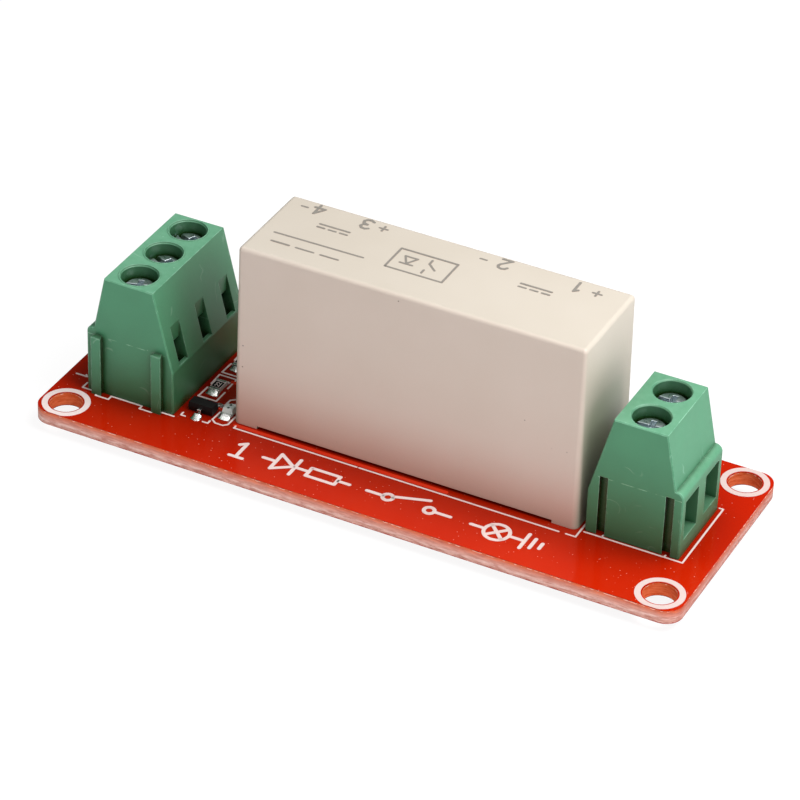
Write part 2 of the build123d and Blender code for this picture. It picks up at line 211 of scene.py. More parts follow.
line = add(tree, "ShaderNodeMath", {0: sweep, 1: 0.5, 2: 0.012}, operation="COMPARE")
rare = ragged(tree, place, 2.2, 1.0, low=0.6, high=0.68, most=0.28)[1]
scuff = add(tree, "ShaderNodeMath", {0: line, 1: rare}, operation="MULTIPLY")
print("marks of handling:", len(tree.nodes), "nodes")

# %% Green polyamide: the mould's seam, with a painted highlight
SEAM_HEIGHT, SEAM_HALF_WIDTH = 8.65 * MM, 0.045 * MM
height = add(tree, "ShaderNodeSeparateXYZ", {0: place}).outputs["Z"]
side = add(tree, "ShaderNodeSeparateXYZ", {0: true_face.outputs["True Normal"]})
across = add(tree, "ShaderNodeMath", {0: side.outputs["Y"]}, operation="ABSOLUTE")
ends = add(tree, "ShaderNodeMath", {0: across, 1: 0.95}, operation="GREATER_THAN")
# Painted highlight: broken pale dashes along the seam on the ends of each block.
at_seam = add(tree, "ShaderNodeMath", {0: height, 1: SEAM_HEIGHT, 2: SEAM_HALF_WIDTH}, operation="COMPARE")
on_ends = add(tree, "ShaderNodeMath", {0: ends, 1: at_seam}, operation="MULTIPLY")
dashes = ragged(tree, place, 0.9, 2.0, low=0.42, high=0.62)[1]
seam_highlight = add(tree, "ShaderNodeMath", {0: on_ends, 1: dashes}, operation="MULTIPLY")
print("seam at", round(SEAM_HEIGHT / MM, 2), "mm")

# %% [markdown]
# Three layers lie over that. The faces that look up are paled, as dust and painted top light: the
# height of the face's normal says how much of a paler green is mixed in. The slots and wells get
# painted shade: a short ambient occlusion takes their colour through deep green to black. It also
# makes them shine, because the mould's core pins are polished. A longer one paints shade on the side
# that stands close to the relay, where light only arrives from its neighbours.

# %% Green polyamide: dust and painted light and shade, grain and shine
# Dust and painted top light: the faces that look up are mixed towards a paler green.
facing_up = add(tree, "ShaderNodeMapRange", {"Value": side.outputs["Z"], "To Max": 0.23})
dust_and_light_patches = add(tree, "ShaderNodeMapRange", {"Value": patch_noise, "From Min": 0.2, "From Max": 0.8, "To Min": 0.6})
dust_and_top_light = add(tree, "ShaderNodeMath", {0: facing_up, 1: dust_and_light_patches}, operation="MULTIPLY")
colour = body
for mask, tone in ((worn_and_highlit_edges, "#A9DDBF"), (dust, "#9CCBB0"), (scuff, "#A9D3BA"), (seam_highlight, "#8FC8A6"),
                   (dust_and_top_light, "#BCEDD0")):
    colour = add(tree, "ShaderNodeMix", {0: mask, 6: colour, 7: linear(tone)}, data_type="RGBA")
# Painted shade: the wells and slots darken through deep green to black, and the side near the relay darkens
# too.
open_sky = add(tree, "ShaderNodeAmbientOcclusion", {"Distance": 2.2 * MM}, samples=RAYS).outputs["AO"]
recess_shade_and_polish = add(tree, "ShaderNodeMapRange", {"Value": open_sky, "From Min": 0.3, "From Max": 0.8})
recess_black_shade = add(tree, "ShaderNodeMapRange", {"Value": open_sky, "From Min": 0.2, "From Max": 0.52})
painted_shade = openness(tree, 12, closed=0.55, clear=1.0, least=0.42)
for mask, tone in ((recess_shade_and_polish, "#07431F"), (recess_black_shade, "#0A0E08"), (painted_shade, "#203C12")):
    colour = add(tree, "ShaderNodeMix", {0: mask, 6: linear(tone), 7: colour}, data_type="RGBA")
grain = add(tree, "ShaderNodeTexNoise", {"Vector": place, "Scale": per_mm(0.14), "Detail": 2.0})
bumps = grained(tree, grain, strength=0.25, depth=0.01)
tree.links.new(handed_on(edge_round), bumps.inputs["Normal"])
satin = add(tree, "ShaderNodeMapRange", {"Value": cloud, "To Min": 0.42, "To Max": 0.54})
shine = add(tree, "ShaderNodeMix", {0: recess_shade_and_polish, 2: 0.22, 3: satin})
feed(tree, surface, Base_Color=colour, Roughness=shine, Normal=bumps)
print("nylon:", len(tree.nodes), "nodes")

# %% [markdown]
# ## Moulded polyester of the relay case
# The relay's case is a warm white polyester, finer in grain than the nylon and a little matter, with
# a few small dark pits. The long sides are painted a trace pinker, as painted light bounced from the
# red board. Near the board the foot gets painted shade, tinted with painted light bounced from what
# stands beside it: red from the board on the long sides, green from the blocks on the ends. Ambient
# occlusion says how near that is, and the face's own normal says which of the two it is.

# %% Relay case
# Painted light: the long sides are tinted pink, as by light bounced from the red board.
RED_BOUNCE_TINT = (1.035, 0.965, 0.98, 1)
case_polyester, tree, surface, place = start_material("moulded_cream_polyester", IOR=1.57)
cloud, body = clouded(tree, place, 9, "#CBC1B2", "#D3CABD")
facing = add(tree, "ShaderNodeSeparateXYZ", {0: add(tree, "ShaderNodeNewGeometry").outputs["True Normal"]})
on_end, on_long_side = (add(tree, "ShaderNodeMath", {0: facing.outputs[axis]}, operation="ABSOLUTE")
                        for axis in "XY")
red_bounce_tinted = add(tree, "ShaderNodeMix", {0: on_long_side, 6: body, 7: RED_BOUNCE_TINT}, data_type="RGBA",
              blend_type="MULTIPLY")
pits = specks(tree, place, 1.6, rim=0.07, core=0.02, above=0.93)
pitted = add(tree, "ShaderNodeMix", {0: pits, 6: red_bounce_tinted, 7: linear("#6B5A50")}, data_type="RGBA")
# Painted shade and bounced light at the foot: red on the long sides, green on the ends.
foot_shade_and_bounce = add(tree, "ShaderNodeMix", {0: on_end, 6: linear("#B5785C"), 7: linear("#4C6C47")},
                data_type="RGBA")
painted_shade = openness(tree, 8, closed=0.35, clear=0.95, least=0.4)
colour = add(tree, "ShaderNodeMix", {0: painted_shade, 6: foot_shade_and_bounce, 7: pitted}, data_type="RGBA")
grain = add(tree, "ShaderNodeTexNoise", {"Vector": place, "Scale": per_mm(0.1), "Detail": 2.0})
shine = add(tree, "ShaderNodeMapRange", {"Value": cloud, "To Min": 0.42, "To Max": 0.52})
feed(tree, surface, Base_Color=colour, Roughness=shine,
     Normal=grained(tree, grain, strength=0.2, depth=0.008, edge=0.1))
print("polyester:", len(tree.nodes), "nodes")

# %% [markdown]
# ## Red solder mask and its glass-epoxy edge
# A circuit board is a slab of glass cloth in epoxy. Its faces carry a glossy red lacquer, the solder
# mask, with a little dust on it. The lacquer gives its gloss a warm tint, and beside the tall parts it
# is painted darker, as painted shade. The edges are milled, so they show the cut fibres: pale pink
# threads that run along the edge, because the glass lies in layers, and a whiter seam between two of
# them. The end edges are painted darker and redder, as painted shade.

# %% Board: lacquer
WARM_GLOSS = {"IOR": 1.5, "Specular_IOR_Level": 0.3, "Specular_Tint": linear("#FFD29A")}
red_board, tree, surface, place = start_material("red_solder_mask_on_glass_epoxy", **WARM_GLOSS)
height = add(tree, "ShaderNodeSeparateXYZ", {0: place}).outputs["Z"]
lacquer = clouded(tree, place, 14, "#BB1702", "#CC2703")[1]
motes = specks(tree, place, 0.5, rim=0.14, core=0.05, above=0.5, most=0.75)
dusty = add(tree, "ShaderNodeMix", {0: motes, 6: lacquer, 7: linear("#F0A898")}, data_type="RGBA")
# Painted shade: the lacquer is darkened beside the tall parts.
painted_shade = openness(tree, 10, closed=0.35, clear=0.95, least=0.45)
face = add(tree, "ShaderNodeMix", {0: 1.0, 6: dusty, 7: painted_shade}, data_type="RGBA", blend_type="MULTIPLY")
print("lacquer:", len(tree.nodes), "nodes")

# %% Board: milled edges
END_EDGE_SHADE = (0.82, 0.68, 0.66, 1)
flattened = add(tree, "ShaderNodeMapping", {"Vector": place, "Scale": (1.0, 1.0, 5.0)})
fibres = add(tree, "ShaderNodeTexNoise", {"Vector": flattened, "Scale": per_mm(1.3), "Detail": 4.0,
                                          "Roughness": 0.7})
cut = add(tree, "ShaderNodeMapRange", {"Value": fibres, "From Min": 0.36, "From Max": 0.66})
share = add(tree, "ShaderNodeMapRange", {"Value": height, "From Max": board_top})
shifted = add(tree, "ShaderNodeMath", {0: cut, 1: 0.2, 2: -0.1}, operation="MULTIPLY_ADD")
level = add(tree, "ShaderNodeMath", {0: share, 1: shifted}, operation="ADD")
layers = add(tree, "ShaderNodeValToRGB", {0: level})
for stop, hex_colour in ((0.15, "#D49C90"), (0.35, "#DDA69B"), (0.6, "#D99486"), (0.82, "#DA7A5E")):
    layers.color_ramp.elements.new(stop).color = linear(hex_colour)
layers.color_ramp.elements[0].color = linear("#CC958A")
layers.color_ramp.elements[-1].color = linear("#DC5833")
seam = ragged(tree, place, 3, 4.0, low=0.3, high=0.7, least=0.22, most=0.42)[1]
off_seam = add(tree, "ShaderNodeMath", {0: share, 1: seam}, operation="SUBTRACT")
from_seam = add(tree, "ShaderNodeMath", {0: off_seam}, operation="ABSOLUTE")
near_seam = add(tree, "ShaderNodeMapRange", {"Value": from_seam, "From Min": 0.14, "From Max": 0.03})
frayed = add(tree, "ShaderNodeMath", {0: near_seam, 1: cut}, operation="MULTIPLY")
faint = add(tree, "ShaderNodeMath", {0: frayed, 1: 0.5}, operation="MULTIPLY")
threads = add(tree, "ShaderNodeMix", {0: 0.5, 6: layers, 7: cut}, data_type="RGBA", blend_type="SOFT_LIGHT")
milled = add(tree, "ShaderNodeMix", {0: faint, 6: threads, 7: linear("#F8E4DE")}, data_type="RGBA")
# Painted shade: the end edges are multiplied darker and redder.
cut_face = add(tree, "ShaderNodeSeparateXYZ", {0: add(tree, "ShaderNodeNewGeometry").outputs["True Normal"]})
along = add(tree, "ShaderNodeMath", {0: cut_face.outputs["X"]}, operation="ABSOLUTE")
end_edge = add(tree, "ShaderNodeMapRange", {"Value": along, "From Min": 0.6})
end_edges_shaded = add(tree, "ShaderNodeMix", {0: end_edge, 6: milled, 7: END_EDGE_SHADE}, data_type="RGBA",
              blend_type="MULTIPLY")
print("with its edges:", len(tree.nodes), "nodes")

# %% [markdown]
# The drilled holes show the same fibres, redder because light reaches them through the resin. The band
# under the lacquer is orange, because light comes through it, and broken pale dashes along its lip are
# a painted highlight. One material does it all: the height in the board tells face from edge, and the
# distance to the nearest mounting hole tells the hole's wall from the outer edge.

# %% Board: drilled holes
HOLE_INSET_X, HOLE_INSET_Y, HOLE_REACH = 2.8 * MM, 2.5 * MM, 1.95 * MM
board_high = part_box("circuit_board")[1]
hole_x, hole_y = board_high.x - HOLE_INSET_X, board_high.y - HOLE_INSET_Y
drilled = add(tree, "ShaderNodeMix", {0: cut, 6: linear("#D25226"), 7: linear("#E87E50")}, data_type="RGBA")
folded = add(tree, "ShaderNodeVectorMath", {0: place}, operation="ABSOLUTE")
to_hole = add(tree, "ShaderNodeVectorMath", {0: folded, 1: (hole_x, hole_y, 0)}, operation="SUBTRACT")
flat = add(tree, "ShaderNodeVectorMath", {0: to_hole, 1: (1, 1, 0)}, operation="MULTIPLY")
reach = add(tree, "ShaderNodeVectorMath", {0: flat}, operation="LENGTH")
in_hole = add(tree, "ShaderNodeMath", {0: reach, 1: HOLE_REACH}, operation="LESS_THAN")
wall = add(tree, "ShaderNodeMix", {0: in_hole, 6: end_edges_shaded, 7: drilled}, data_type="RGBA")
print("mounting holes at", round(hole_x / MM, 2), round(hole_y / MM, 2))

# %% Board: painted highlight on the lip, and face or edge
LIP = 0.09 * MM
nibbled, lip_highlight_dashes = ragged(tree, place, 0.5, 3.0, low=0.48, high=0.6)
coat = add(tree, "ShaderNodeMapRange", {"Value": nibbled, "From Min": 0.35, "From Max": 0.75,
                                        "To Min": 0.02 * MM, "To Max": 0.14 * MM})
upper = add(tree, "ShaderNodeMath", {0: board_top, 1: coat}, operation="SUBTRACT")
above = add(tree, "ShaderNodeMath", {0: height, 1: upper}, operation="GREATER_THAN")
below = add(tree, "ShaderNodeMath", {0: height, 1: coat}, operation="LESS_THAN")
on_face = add(tree, "ShaderNodeMath", {0: above, 1: below}, operation="MAXIMUM")
# Painted highlight: broken pale dashes along the lip under the lacquer.
near_lip = add(tree, "ShaderNodeMath", {0: upper, 1: LIP}, operation="SUBTRACT")
at_lip = add(tree, "ShaderNodeMath", {0: height, 1: near_lip}, operation="GREATER_THAN")
lip_highlight = add(tree, "ShaderNodeMath", {0: at_lip, 1: lip_highlight_dashes}, operation="MULTIPLY")
with_lip_highlight = add(tree, "ShaderNodeMix", {0: lip_highlight, 6: wall, 7: linear("#FBC3AF")}, data_type="RGBA")
colour = add(tree, "ShaderNodeMix", {0: on_face, 6: with_lip_highlight, 7: face}, data_type="RGBA")
ripple = add(tree, "ShaderNodeTexNoise", {"Vector": place, "Scale": per_mm(0.9), "Detail": 1.0})
shine, relief, strength = (add(tree, "ShaderNodeMix", {0: on_face, 2: edge, 3: lacquered})
                           for edge, lacquered in ((0.75, 0.14), (fibres, ripple), (0.6, 0.04)))
feed(tree, surface, Base_Color=colour, Roughness=shine,
     Normal=grained(tree, relief, strength, depth=0.05, edge=0.06))
print("board:", len(tree.nodes), "nodes")

# %% [markdown]
# ## Metals
# Four metals meet on this board. The clamp screws are steel with blue-passivated zinc, which is a
# bluish silver with faint clouds. Solder is almost a mirror, broken only by slow waves from its
# freezing, and it covers the small parts' plated ends and the transistor's leads too. The relay's pins
# and the contact strips are dull matt tin. The cages are pressed from plated strip with a cloudy
# surface. They differ in colour, roughness and bump, so one loop makes them from a table.

# %% Metals
METALS = {
    "blue_zinc_on_steel": ("#B4C2C8", "#E8F0F2", 0.22, 0.36, 0.5, 0.3),
    "bright_solder": ("#DCDCD8", "#F4F4F2", 0.16, 0.32, 0.4, 0.6),
    "matt_tin_plate": ("#BDBBB4", "#D8D6CF", 0.32, 0.45, 0.8, 0.2),
    "pressed_zinc_strip": ("#A6A8A4", "#C8CAC6", 0.3, 0.45, 0.6, 0.25)}
metal = {}
for name, (dark, pale, smooth, rough, size, strength) in METALS.items():
    metal[name], tree, surface, place = start_material(name, Metallic=1.0)
    cloud, tone = clouded(tree, place, size, dark, pale)
    shine = add(tree, "ShaderNodeMapRange", {"Value": cloud, "To Min": smooth, "To Max": rough})
    feed(tree, surface, Base_Color=tone, Roughness=shine,
         Normal=grained(tree, cloud, strength, depth=0.05, edge=0.13))
print("metals:", ", ".join(metal))

# %% [markdown]
# ## Small parts, ink and resin
# The remaining finishes are plain plastics and ceramics: black moulding compound of the transistor,
# white ceramic of the resistors, black glaze on their tops, white board ink, grey pad-printing ink,
# potting resin, and the clear resin of the lamp. Each is a mix of two near colours with fine grain.
# The table's last column is how strongly a surface mirrors: little for the compound and the glaze,
# which stay black under the lamps. The solids' edges are rounded in the shading. Ink is too thin for
# that and keeps its true normals. The white ink is painted darker from the input's end to the
# output's, as painted shade where the overhead lamp lights it more.

# %% Plastics, ceramics and inks
INK_SHADE_START, INK_SHADE_FULL = -34 * MM, 34 * MM
PLAIN = {
    "black_moulding_compound": ("#050404", "#0D0A09", 0.55, 0.06, 0.25, 0.25),
    "fired_alumina": ("#D9DAD6", "#E9E9E5", 0.5, 0.08, 0.15, 0.5),
    "black_resistor_glaze": ("#040404", "#090909", 0.5, 0.3, 0.08, 0.15),
    "white_board_ink": ("#F7E2DF", "#FBEAE7", 0.5, 0.25, 0.2, 0.3),
    "grey_printing_ink": ("#837E75", "#96918A", 0.5, 0.2, 0.1, 0.5),
    "black_potting_resin": ("#0C0C0D", "#1A1A1C", 0.18, 2.0, 0.1, 0.5),
    "green_inner_card": ("#0E3A20", "#16512C", 0.25, 2.5, 0.05, 0.5),
    "dark_lamp_die": ("#37463E", "#56655C", 0.3, 0.1, 0.1, 0.3)}
plain = {}
for name, (dark, pale, rough, size, strength, sheen) in PLAIN.items():
    plain[name], tree, surface, place = start_material(name, IOR=1.5, Specular_IOR_Level=sheen)
    cloud, tone = clouded(tree, place, size, dark, pale)
    shine = add(tree, "ShaderNodeMapRange", {"Value": cloud, "To Min": rough - 0.05, "To Max": rough + 0.08})
    # Painted shade: the white ink darkens from the input's end to the output's end.
    if name == "white_board_ink":
        along = add(tree, "ShaderNodeSeparateXYZ", {0: place})
        thinner_disc_and_ink_shade = add(tree, "ShaderNodeMapRange", {"Value": along, "From Min": INK_SHADE_START,
                                                   "From Max": INK_SHADE_FULL})
        tone = add(tree, "ShaderNodeMix", {0: thinner_disc_and_ink_shade, 6: tone, 7: linear("#DBC4BF")}, data_type="RGBA")
    feed(tree, surface, Base_Color=tone, Roughness=shine,
         Normal=grained(tree, cloud, strength, depth=0.02, edge=None if name.endswith("ink") else 0.04))

lamp_resin, tree, surface, place = start_material(
    "clear_lamp_resin", IOR=1.52, Roughness=0.3, Transmission_Weight=0.15)
feed(tree, surface, Base_Color=clouded(tree, place, 0.5, "#E4ECE5", "#F6F8F5")[1])
print("plain finishes:", len(plain) + 1)

# %% [markdown]
# ## Dress the CAD nodes
# Each CAD node keeps its mesh. It only loses its placeholder material and gets the finish of the real
# piece. A table says which finish goes with which starts of the nodes' names, and where two starts fit
# a name, the longer one counts.

# %% Give every CAD node its finish
FINISHES = (
    (red_board, "circuit_board"), (green_nylon, "input_terminal_housing output_terminal_housing"),
    (case_polyester, "relay_case"), (lamp_resin, "indicator_lens"),
    (metal["blue_zinc_on_steel"], "terminal_screw"), (metal["pressed_zinc_strip"], "clamp_cage"),
    (metal["matt_tin_plate"], "terminal_contact relay_pin"),
    (metal["bright_solder"], "transistor_leads chip_resistor_1_caps chip_resistor_2_caps indicator_caps "
                             "small_part_solder terminal_solder_joints relay_solder_joints"),
    (plain["black_moulding_compound"], "relay_optocoupler relay_power_transistor transistor_body"),
    (plain["fired_alumina"], "chip_resistor indicator_base"),
    (plain["black_potting_resin"], "relay_potting"), (plain["green_inner_card"], "relay_card"))
finish_of = {start: finish for finish, starts in FINISHES for start in starts.split()}
for name, node in nodes.items():
    start = max((start for start in finish_of if name.startswith(start)), key=len)
    node.data.materials.clear()
    node.data.materials.append(finish_of[start])
print("dressed", len(nodes), "nodes")

# %% [markdown]
# ## Growing pieces with Geometry Nodes
# What repeats or follows a path is made by a node tree: pen strokes, screws, rims, solder. Each tree
# has named inputs for its sizes and ends with real geometry in one finish, because instances don't
# survive the export.

# %% Tree helpers
def start_tree(name, *sizes, **others):
    """A new tree with inputs for a geometry, named sizes, others of a given kind and the finish."""
    tree = bpy.data.node_groups.new(name, "GeometryNodeTree")
    for label, kind in {"Geometry": "Geometry", **dict.fromkeys(sizes, "Float"), **others,
                        "Finish": "Material"}.items():
        tree.interface.new_socket(label, in_out="INPUT", socket_type="NodeSocket" + kind)
    tree.interface.new_socket("Geometry", in_out="OUTPUT", socket_type="NodeSocketGeometry")
    return tree, tree.nodes.new("NodeGroupInput").outputs


def on_points(tree, seed, shape, **sockets):
    """An instance of a shape on every point of the seed."""
    points = add(tree, "GeometryNodeMeshToPoints", {"Mesh": seed})
    return add(tree, "GeometryNodeInstanceOnPoints", {"Points": points, "Instance": shape, **sockets})


def lift(tree, shape, height):
    """A shape moved up by a height that another node gives."""
    return add(tree, "GeometryNodeTransform", {
        "Geometry": shape, "Translation": add(tree, "ShaderNodeCombineXYZ", {2: height})})


def end_tree(tree, shape, finish):
    """Realizes the instances, sets the material and ends the tree."""
    real = add(tree, "GeometryNodeRealizeInstances", {"Geometry": shape})
    coated = add(tree, "GeometryNodeSetMaterial", {"Geometry": real, "Material": finish})
    add(tree, "NodeGroupOutput", {"Geometry": coated})
    print(tree.name, len(tree.nodes), "nodes")
    return tree


print("tree helpers ready")

# %% [markdown]
# The recipe for using a tree is always the same. A seed mesh carries it as a modifier, its inputs are
# set by their identifiers, the result is turned into a plain mesh with smooth faces and sharp creases,
# and the piece rides on the CAD body that carries it.

# %% Growing a piece
CREASE = math.radians(35)


def grow(tree, name, points, slot, body="board", edges=(), extents=(), turns=(), **values):
    """Runs a tree on a seed of points in mm. The result rides on a body. The slot is not used."""
    seed = bpy.data.meshes.new(name)
    seed.from_pydata([tuple(v * MM for v in point) for point in points], edges, [])
    if turns:
        seed.attributes.new("turn", "FLOAT", "POINT").data.foreach_set("value", turns)
        seed.attributes.new("extent", "FLOAT_VECTOR", "POINT").data.foreach_set(
            "vector", [v for extent in extents for v in extent])
    piece = bpy.data.objects.new(name, seed)
    bpy.context.scene.collection.objects.link(piece)
    modifier = piece.modifiers.new("tree", "NODES")
    modifier.node_group = tree
    for item in tree.interface.items_tree:
        label = item.name.replace(" ", "_")
        if item.in_out == "INPUT" and label in values:
            modifier[item.identifier] = values[label]
    graph = bpy.context.evaluated_depsgraph_get()
    mesh = bpy.data.meshes.new_from_object(piece.evaluated_get(graph))
    piece.modifiers.clear()
    piece.data = mesh
    mesh.shade_smooth()
    mesh.set_sharp_from_angle(angle=CREASE)
    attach(piece, body)
    print(name, len(mesh.polygons), "faces")
    return piece


print("faces that meet at more than", round(math.degrees(CREASE)), "degrees get a sharp edge")

# %% [markdown]
# ## Clamp screws
# A clamp screw has a flat cheese head with a slot that a shorter one crosses, and a rolled M2.5 thread
# with a pitch of 0.45 mm. The head is a cylinder whose top ring is drawn in for the chamfer, less two
# boxes. The thread is a triangle swept along a spiral round a core. The tree makes one screw at the
# origin and moves it to its place, because each screw turns as a body of its own.

# %% Screw tree: slotted head
SLOT_CUT = 5 * MM
tree, size = start_tree("clamp_screw", "Head radius", "Head height", "Chamfer", "Slot width", "Slot depth",
                        "Cross length", "Slot turn", "Shank radius", "Shank length", "Pitch", Place="Vector")
head = add(tree, "GeometryNodeMeshCylinder", {
    "Vertices": 64, "Side Segments": 12, "Fill Segments": 3, "Radius": size["Head radius"],
    "Depth": size["Head height"]})
spot = add(tree, "GeometryNodeInputPosition")
at = add(tree, "ShaderNodeSeparateXYZ", {0: spot})
half = add(tree, "ShaderNodeMath", {0: size["Head height"], 1: 0.5}, operation="MULTIPLY")
shoulder = add(tree, "ShaderNodeMath", {0: half, 1: size["Chamfer"]}, operation="SUBTRACT")
above = add(tree, "ShaderNodeMath", {0: at.outputs["Z"], 1: shoulder}, operation="SUBTRACT")
inward = add(tree, "ShaderNodeMath", {0: above, 1: 0.0}, operation="MAXIMUM")
share = add(tree, "ShaderNodeMath", {0: inward, 1: size["Head radius"]}, operation="DIVIDE")
shrink = add(tree, "ShaderNodeMath", {0: 1.0, 1: share}, operation="SUBTRACT")
drawn_in = add(tree, "ShaderNodeVectorMath", {
    0: spot, 1: add(tree, "ShaderNodeCombineXYZ", {0: shrink, 1: shrink, 2: 1.0})}, operation="MULTIPLY")
chamfered = add(tree, "GeometryNodeSetPosition", {"Geometry": head, "Position": drawn_in})
cutters = [add(tree, "GeometryNodeMeshCube", {"Size": add(tree, "ShaderNodeCombineXYZ", {
    0: length, 1: width, 2: size["Slot depth"]})})
    for length, width in ((SLOT_CUT, size["Slot width"]), (size["Slot width"], size["Cross length"]))]
slots = add(tree, "GeometryNodeJoinGeometry", {0: cutters})
half_slot = add(tree, "ShaderNodeMath", {0: size["Slot depth"], 1: 0.5}, operation="MULTIPLY")
slot_z = add(tree, "ShaderNodeMath", {0: half, 1: half_slot}, operation="SUBTRACT")
turned = add(tree, "GeometryNodeTransform", {
    "Geometry": slots, "Translation": add(tree, "ShaderNodeCombineXYZ", {2: slot_z}),
    "Rotation": add(tree, "ShaderNodeCombineXYZ", {2: size["Slot turn"]})})
slotted = add(tree, "GeometryNodeMeshBoolean", {
    "Mesh 1": chamfered, "Mesh 2": turned, "Self Intersection": True}, operation="DIFFERENCE", solver="EXACT")
print("head:", len(tree.nodes), "nodes")

# %% Screw tree: thread
RIDGE = 0.15 * MM
turns = add(tree, "ShaderNodeMath", {0: size["Shank length"], 1: size["Pitch"]}, operation="DIVIDE")
crest = add(tree, "ShaderNodeMath", {0: size["Shank radius"], 1: RIDGE}, operation="SUBTRACT")
spiral = add(tree, "GeometryNodeCurveSpiral", {
    "Resolution": 24, "Rotations": turns, "Start Radius": crest, "End Radius": crest,
    "Height": size["Shank length"]})
ridge = add(tree, "GeometryNodeCurvePrimitiveCircle", {"Resolution": 3, "Radius": RIDGE})
thread = add(tree, "GeometryNodeCurveToMesh", {"Curve": spiral, "Profile Curve": ridge, "Fill Caps": True})
core = add(tree, "GeometryNodeMeshCylinder", {"Vertices": 32, "Radius": crest, "Depth": size["Shank length"]})
to_head = add(tree, "ShaderNodeMath", {0: half, 1: -1.0}, operation="MULTIPLY")
half_shank = add(tree, "ShaderNodeMath", {0: size["Shank length"], 1: 0.5}, operation="MULTIPLY")
core_z, thread_z = (add(tree, "ShaderNodeMath", {0: to_head, 1: drop}, operation="SUBTRACT")
                    for drop in (half_shank, size["Shank length"]))
whole = add(tree, "GeometryNodeJoinGeometry", {
    0: [slotted, lift(tree, core, core_z), lift(tree, thread, thread_z)]})
placed = add(tree, "GeometryNodeTransform", {"Geometry": whole, "Translation": size["Place"]})
clamp_screw = end_tree(tree, placed, size["Finish"])

# %% Five clamp screws
HEAD_HEIGHT = 1.8 * MM
SLOT_TURNS = (18, -24, -25, 5, -1)
for number, turn in enumerate(SLOT_TURNS, 1):
    low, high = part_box(f"terminal_screw_{number}")
    piece = grow(clamp_screw, f"threaded_clamp_screw_{number}", [(0, 0, 0)], "zinc_steel", f"screw_{number}",
                 Head_radius=1.7 * MM, Head_height=HEAD_HEIGHT, Chamfer=0.2 * MM, Slot_width=0.6 * MM,
                 Slot_depth=0.9 * MM, Cross_length=2.2 * MM, Slot_turn=math.radians(turn),
                 Shank_radius=1.25 * MM, Shank_length=high.z - low.z - HEAD_HEIGHT, Pitch=0.45 * MM,
                 Place=((low.x + high.x) / 2, (low.y + high.y) / 2, high.z - HEAD_HEIGHT / 2),
                 Finish=metal["blue_zinc_on_steel"])
    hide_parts(f"terminal_screw_{number}")

# %% [markdown]
# ## Rims of the screw wells
# The input block's wells have a fine raised lip. It is a bead 0.18 mm wide that stands 0.06 mm above
# the face. One bead is swept round a circle, and an instance of it stands on every point of the seed.
# The points are the tops of the three wells.

# %% Well rims
BEAD, BEAD_RISE = 0.09, 0.06


def centre(node):
    """Middle of a CAD node in mm, as seen from above, and the height of its top."""
    low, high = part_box(node)
    return (low.x + high.x) / 2 / MM, (low.y + high.y) / 2 / MM, high.z / MM


tree, size = start_tree("well_rim", "Radius", "Bead")
loop, bead = (add(tree, "GeometryNodeCurvePrimitiveCircle", {"Resolution": sides, "Radius": radius})
              for sides, radius in ((64, size["Radius"]), (10, size["Bead"])))
lip = add(tree, "GeometryNodeCurveToMesh", {"Curve": loop, "Profile Curve": bead})
well_rim = end_tree(tree, on_points(tree, size["Geometry"], lip), size["Finish"])
rim_z = centre("input_terminal_housing")[2] - BEAD + BEAD_RISE
wells = [(*centre(f"terminal_screw_{number}")[:2], rim_z) for number in (1, 2, 3)]
grow(well_rim, "input_well_rims", wells, "terminal_green", Radius=2.13 * MM, Bead=BEAD * MM,
     Finish=green_nylon)

# %% [markdown]
# ## Pen strokes
# The screen for a board's white print is drawn by a plotter with a round pen, so every line has one
# width and round ends. The tree copies that: a flat box along every edge of the seed and a flat disc
# on every point. Two faces at one height would flicker where strokes cross, so the discs are a hair
# thinner than the boxes, and the seed steps the strokes' heights by a few micrometres in turn. The
# same tree draws the ink of the relay and the copper tracks, with other sizes.

# %% Stroke tree
HAIR = 0.008
tree, size = start_tree("pen_strokes", "Pen width", "Thickness")
pen = add(tree, "GeometryNodeCurvePrimitiveQuadrilateral", {
    "Width": size["Pen width"], "Height": size["Thickness"]})
path = add(tree, "GeometryNodeSetCurveNormal", {
    "Curve": add(tree, "GeometryNodeMeshToCurve", {"Mesh": size["Geometry"]})}, mode="Z_UP")
lines = add(tree, "GeometryNodeCurveToMesh", {"Curve": path, "Profile Curve": pen, "Fill Caps": True})
nib = add(tree, "ShaderNodeMath", {0: size["Pen width"], 1: 0.5}, operation="MULTIPLY")
thinner_disc_and_ink_shade = add(tree, "ShaderNodeMath", {0: size["Thickness"], 1: HAIR * MM}, operation="SUBTRACT")
disc = add(tree, "GeometryNodeMeshCylinder", {"Vertices": 20, "Radius": nib, "Depth": thinner_disc_and_ink_shade})
corners = add(tree, "GeometryNodeMergeByDistance", {"Geometry": size["Geometry"], "Distance": 1e-6})
drawing = add(tree, "GeometryNodeJoinGeometry", {0: [lines, on_points(tree, corners, disc)]})
pen_strokes = end_tree(tree, drawing, size["Finish"])


def draw(name, paths, z, slot, pen, thickness, finish):
    """Draws polylines at a height. Every edge has its own two points, at one of three close heights."""
    points, edges = [], []
    for line in paths:
        for start, end in zip(line, line[1:]):
            step = z + HAIR * (len(edges) % 3)
            edges.append((len(points), len(points) + 1))
            points += [(*start, step), (*end, step)]
    grow(pen_strokes, name, points, slot, edges=edges, Pen_width=pen * MM, Thickness=thickness * MM,
         Finish=finish)


def ring(x, y, radius, sides):
    """Polyline round a circle."""
    angles = [math.radians(360 * i / sides) for i in range(sides + 1)]
    return [(x + radius * math.cos(a), y + radius * math.sin(a)) for a in angles]


# %% [markdown]
# ## A plotter's digits
# A plotter has its own alphabet, in which every digit is a line or two. Here are the few that this
# board needs, each in a box one unit high, and a function that puts them on their place.

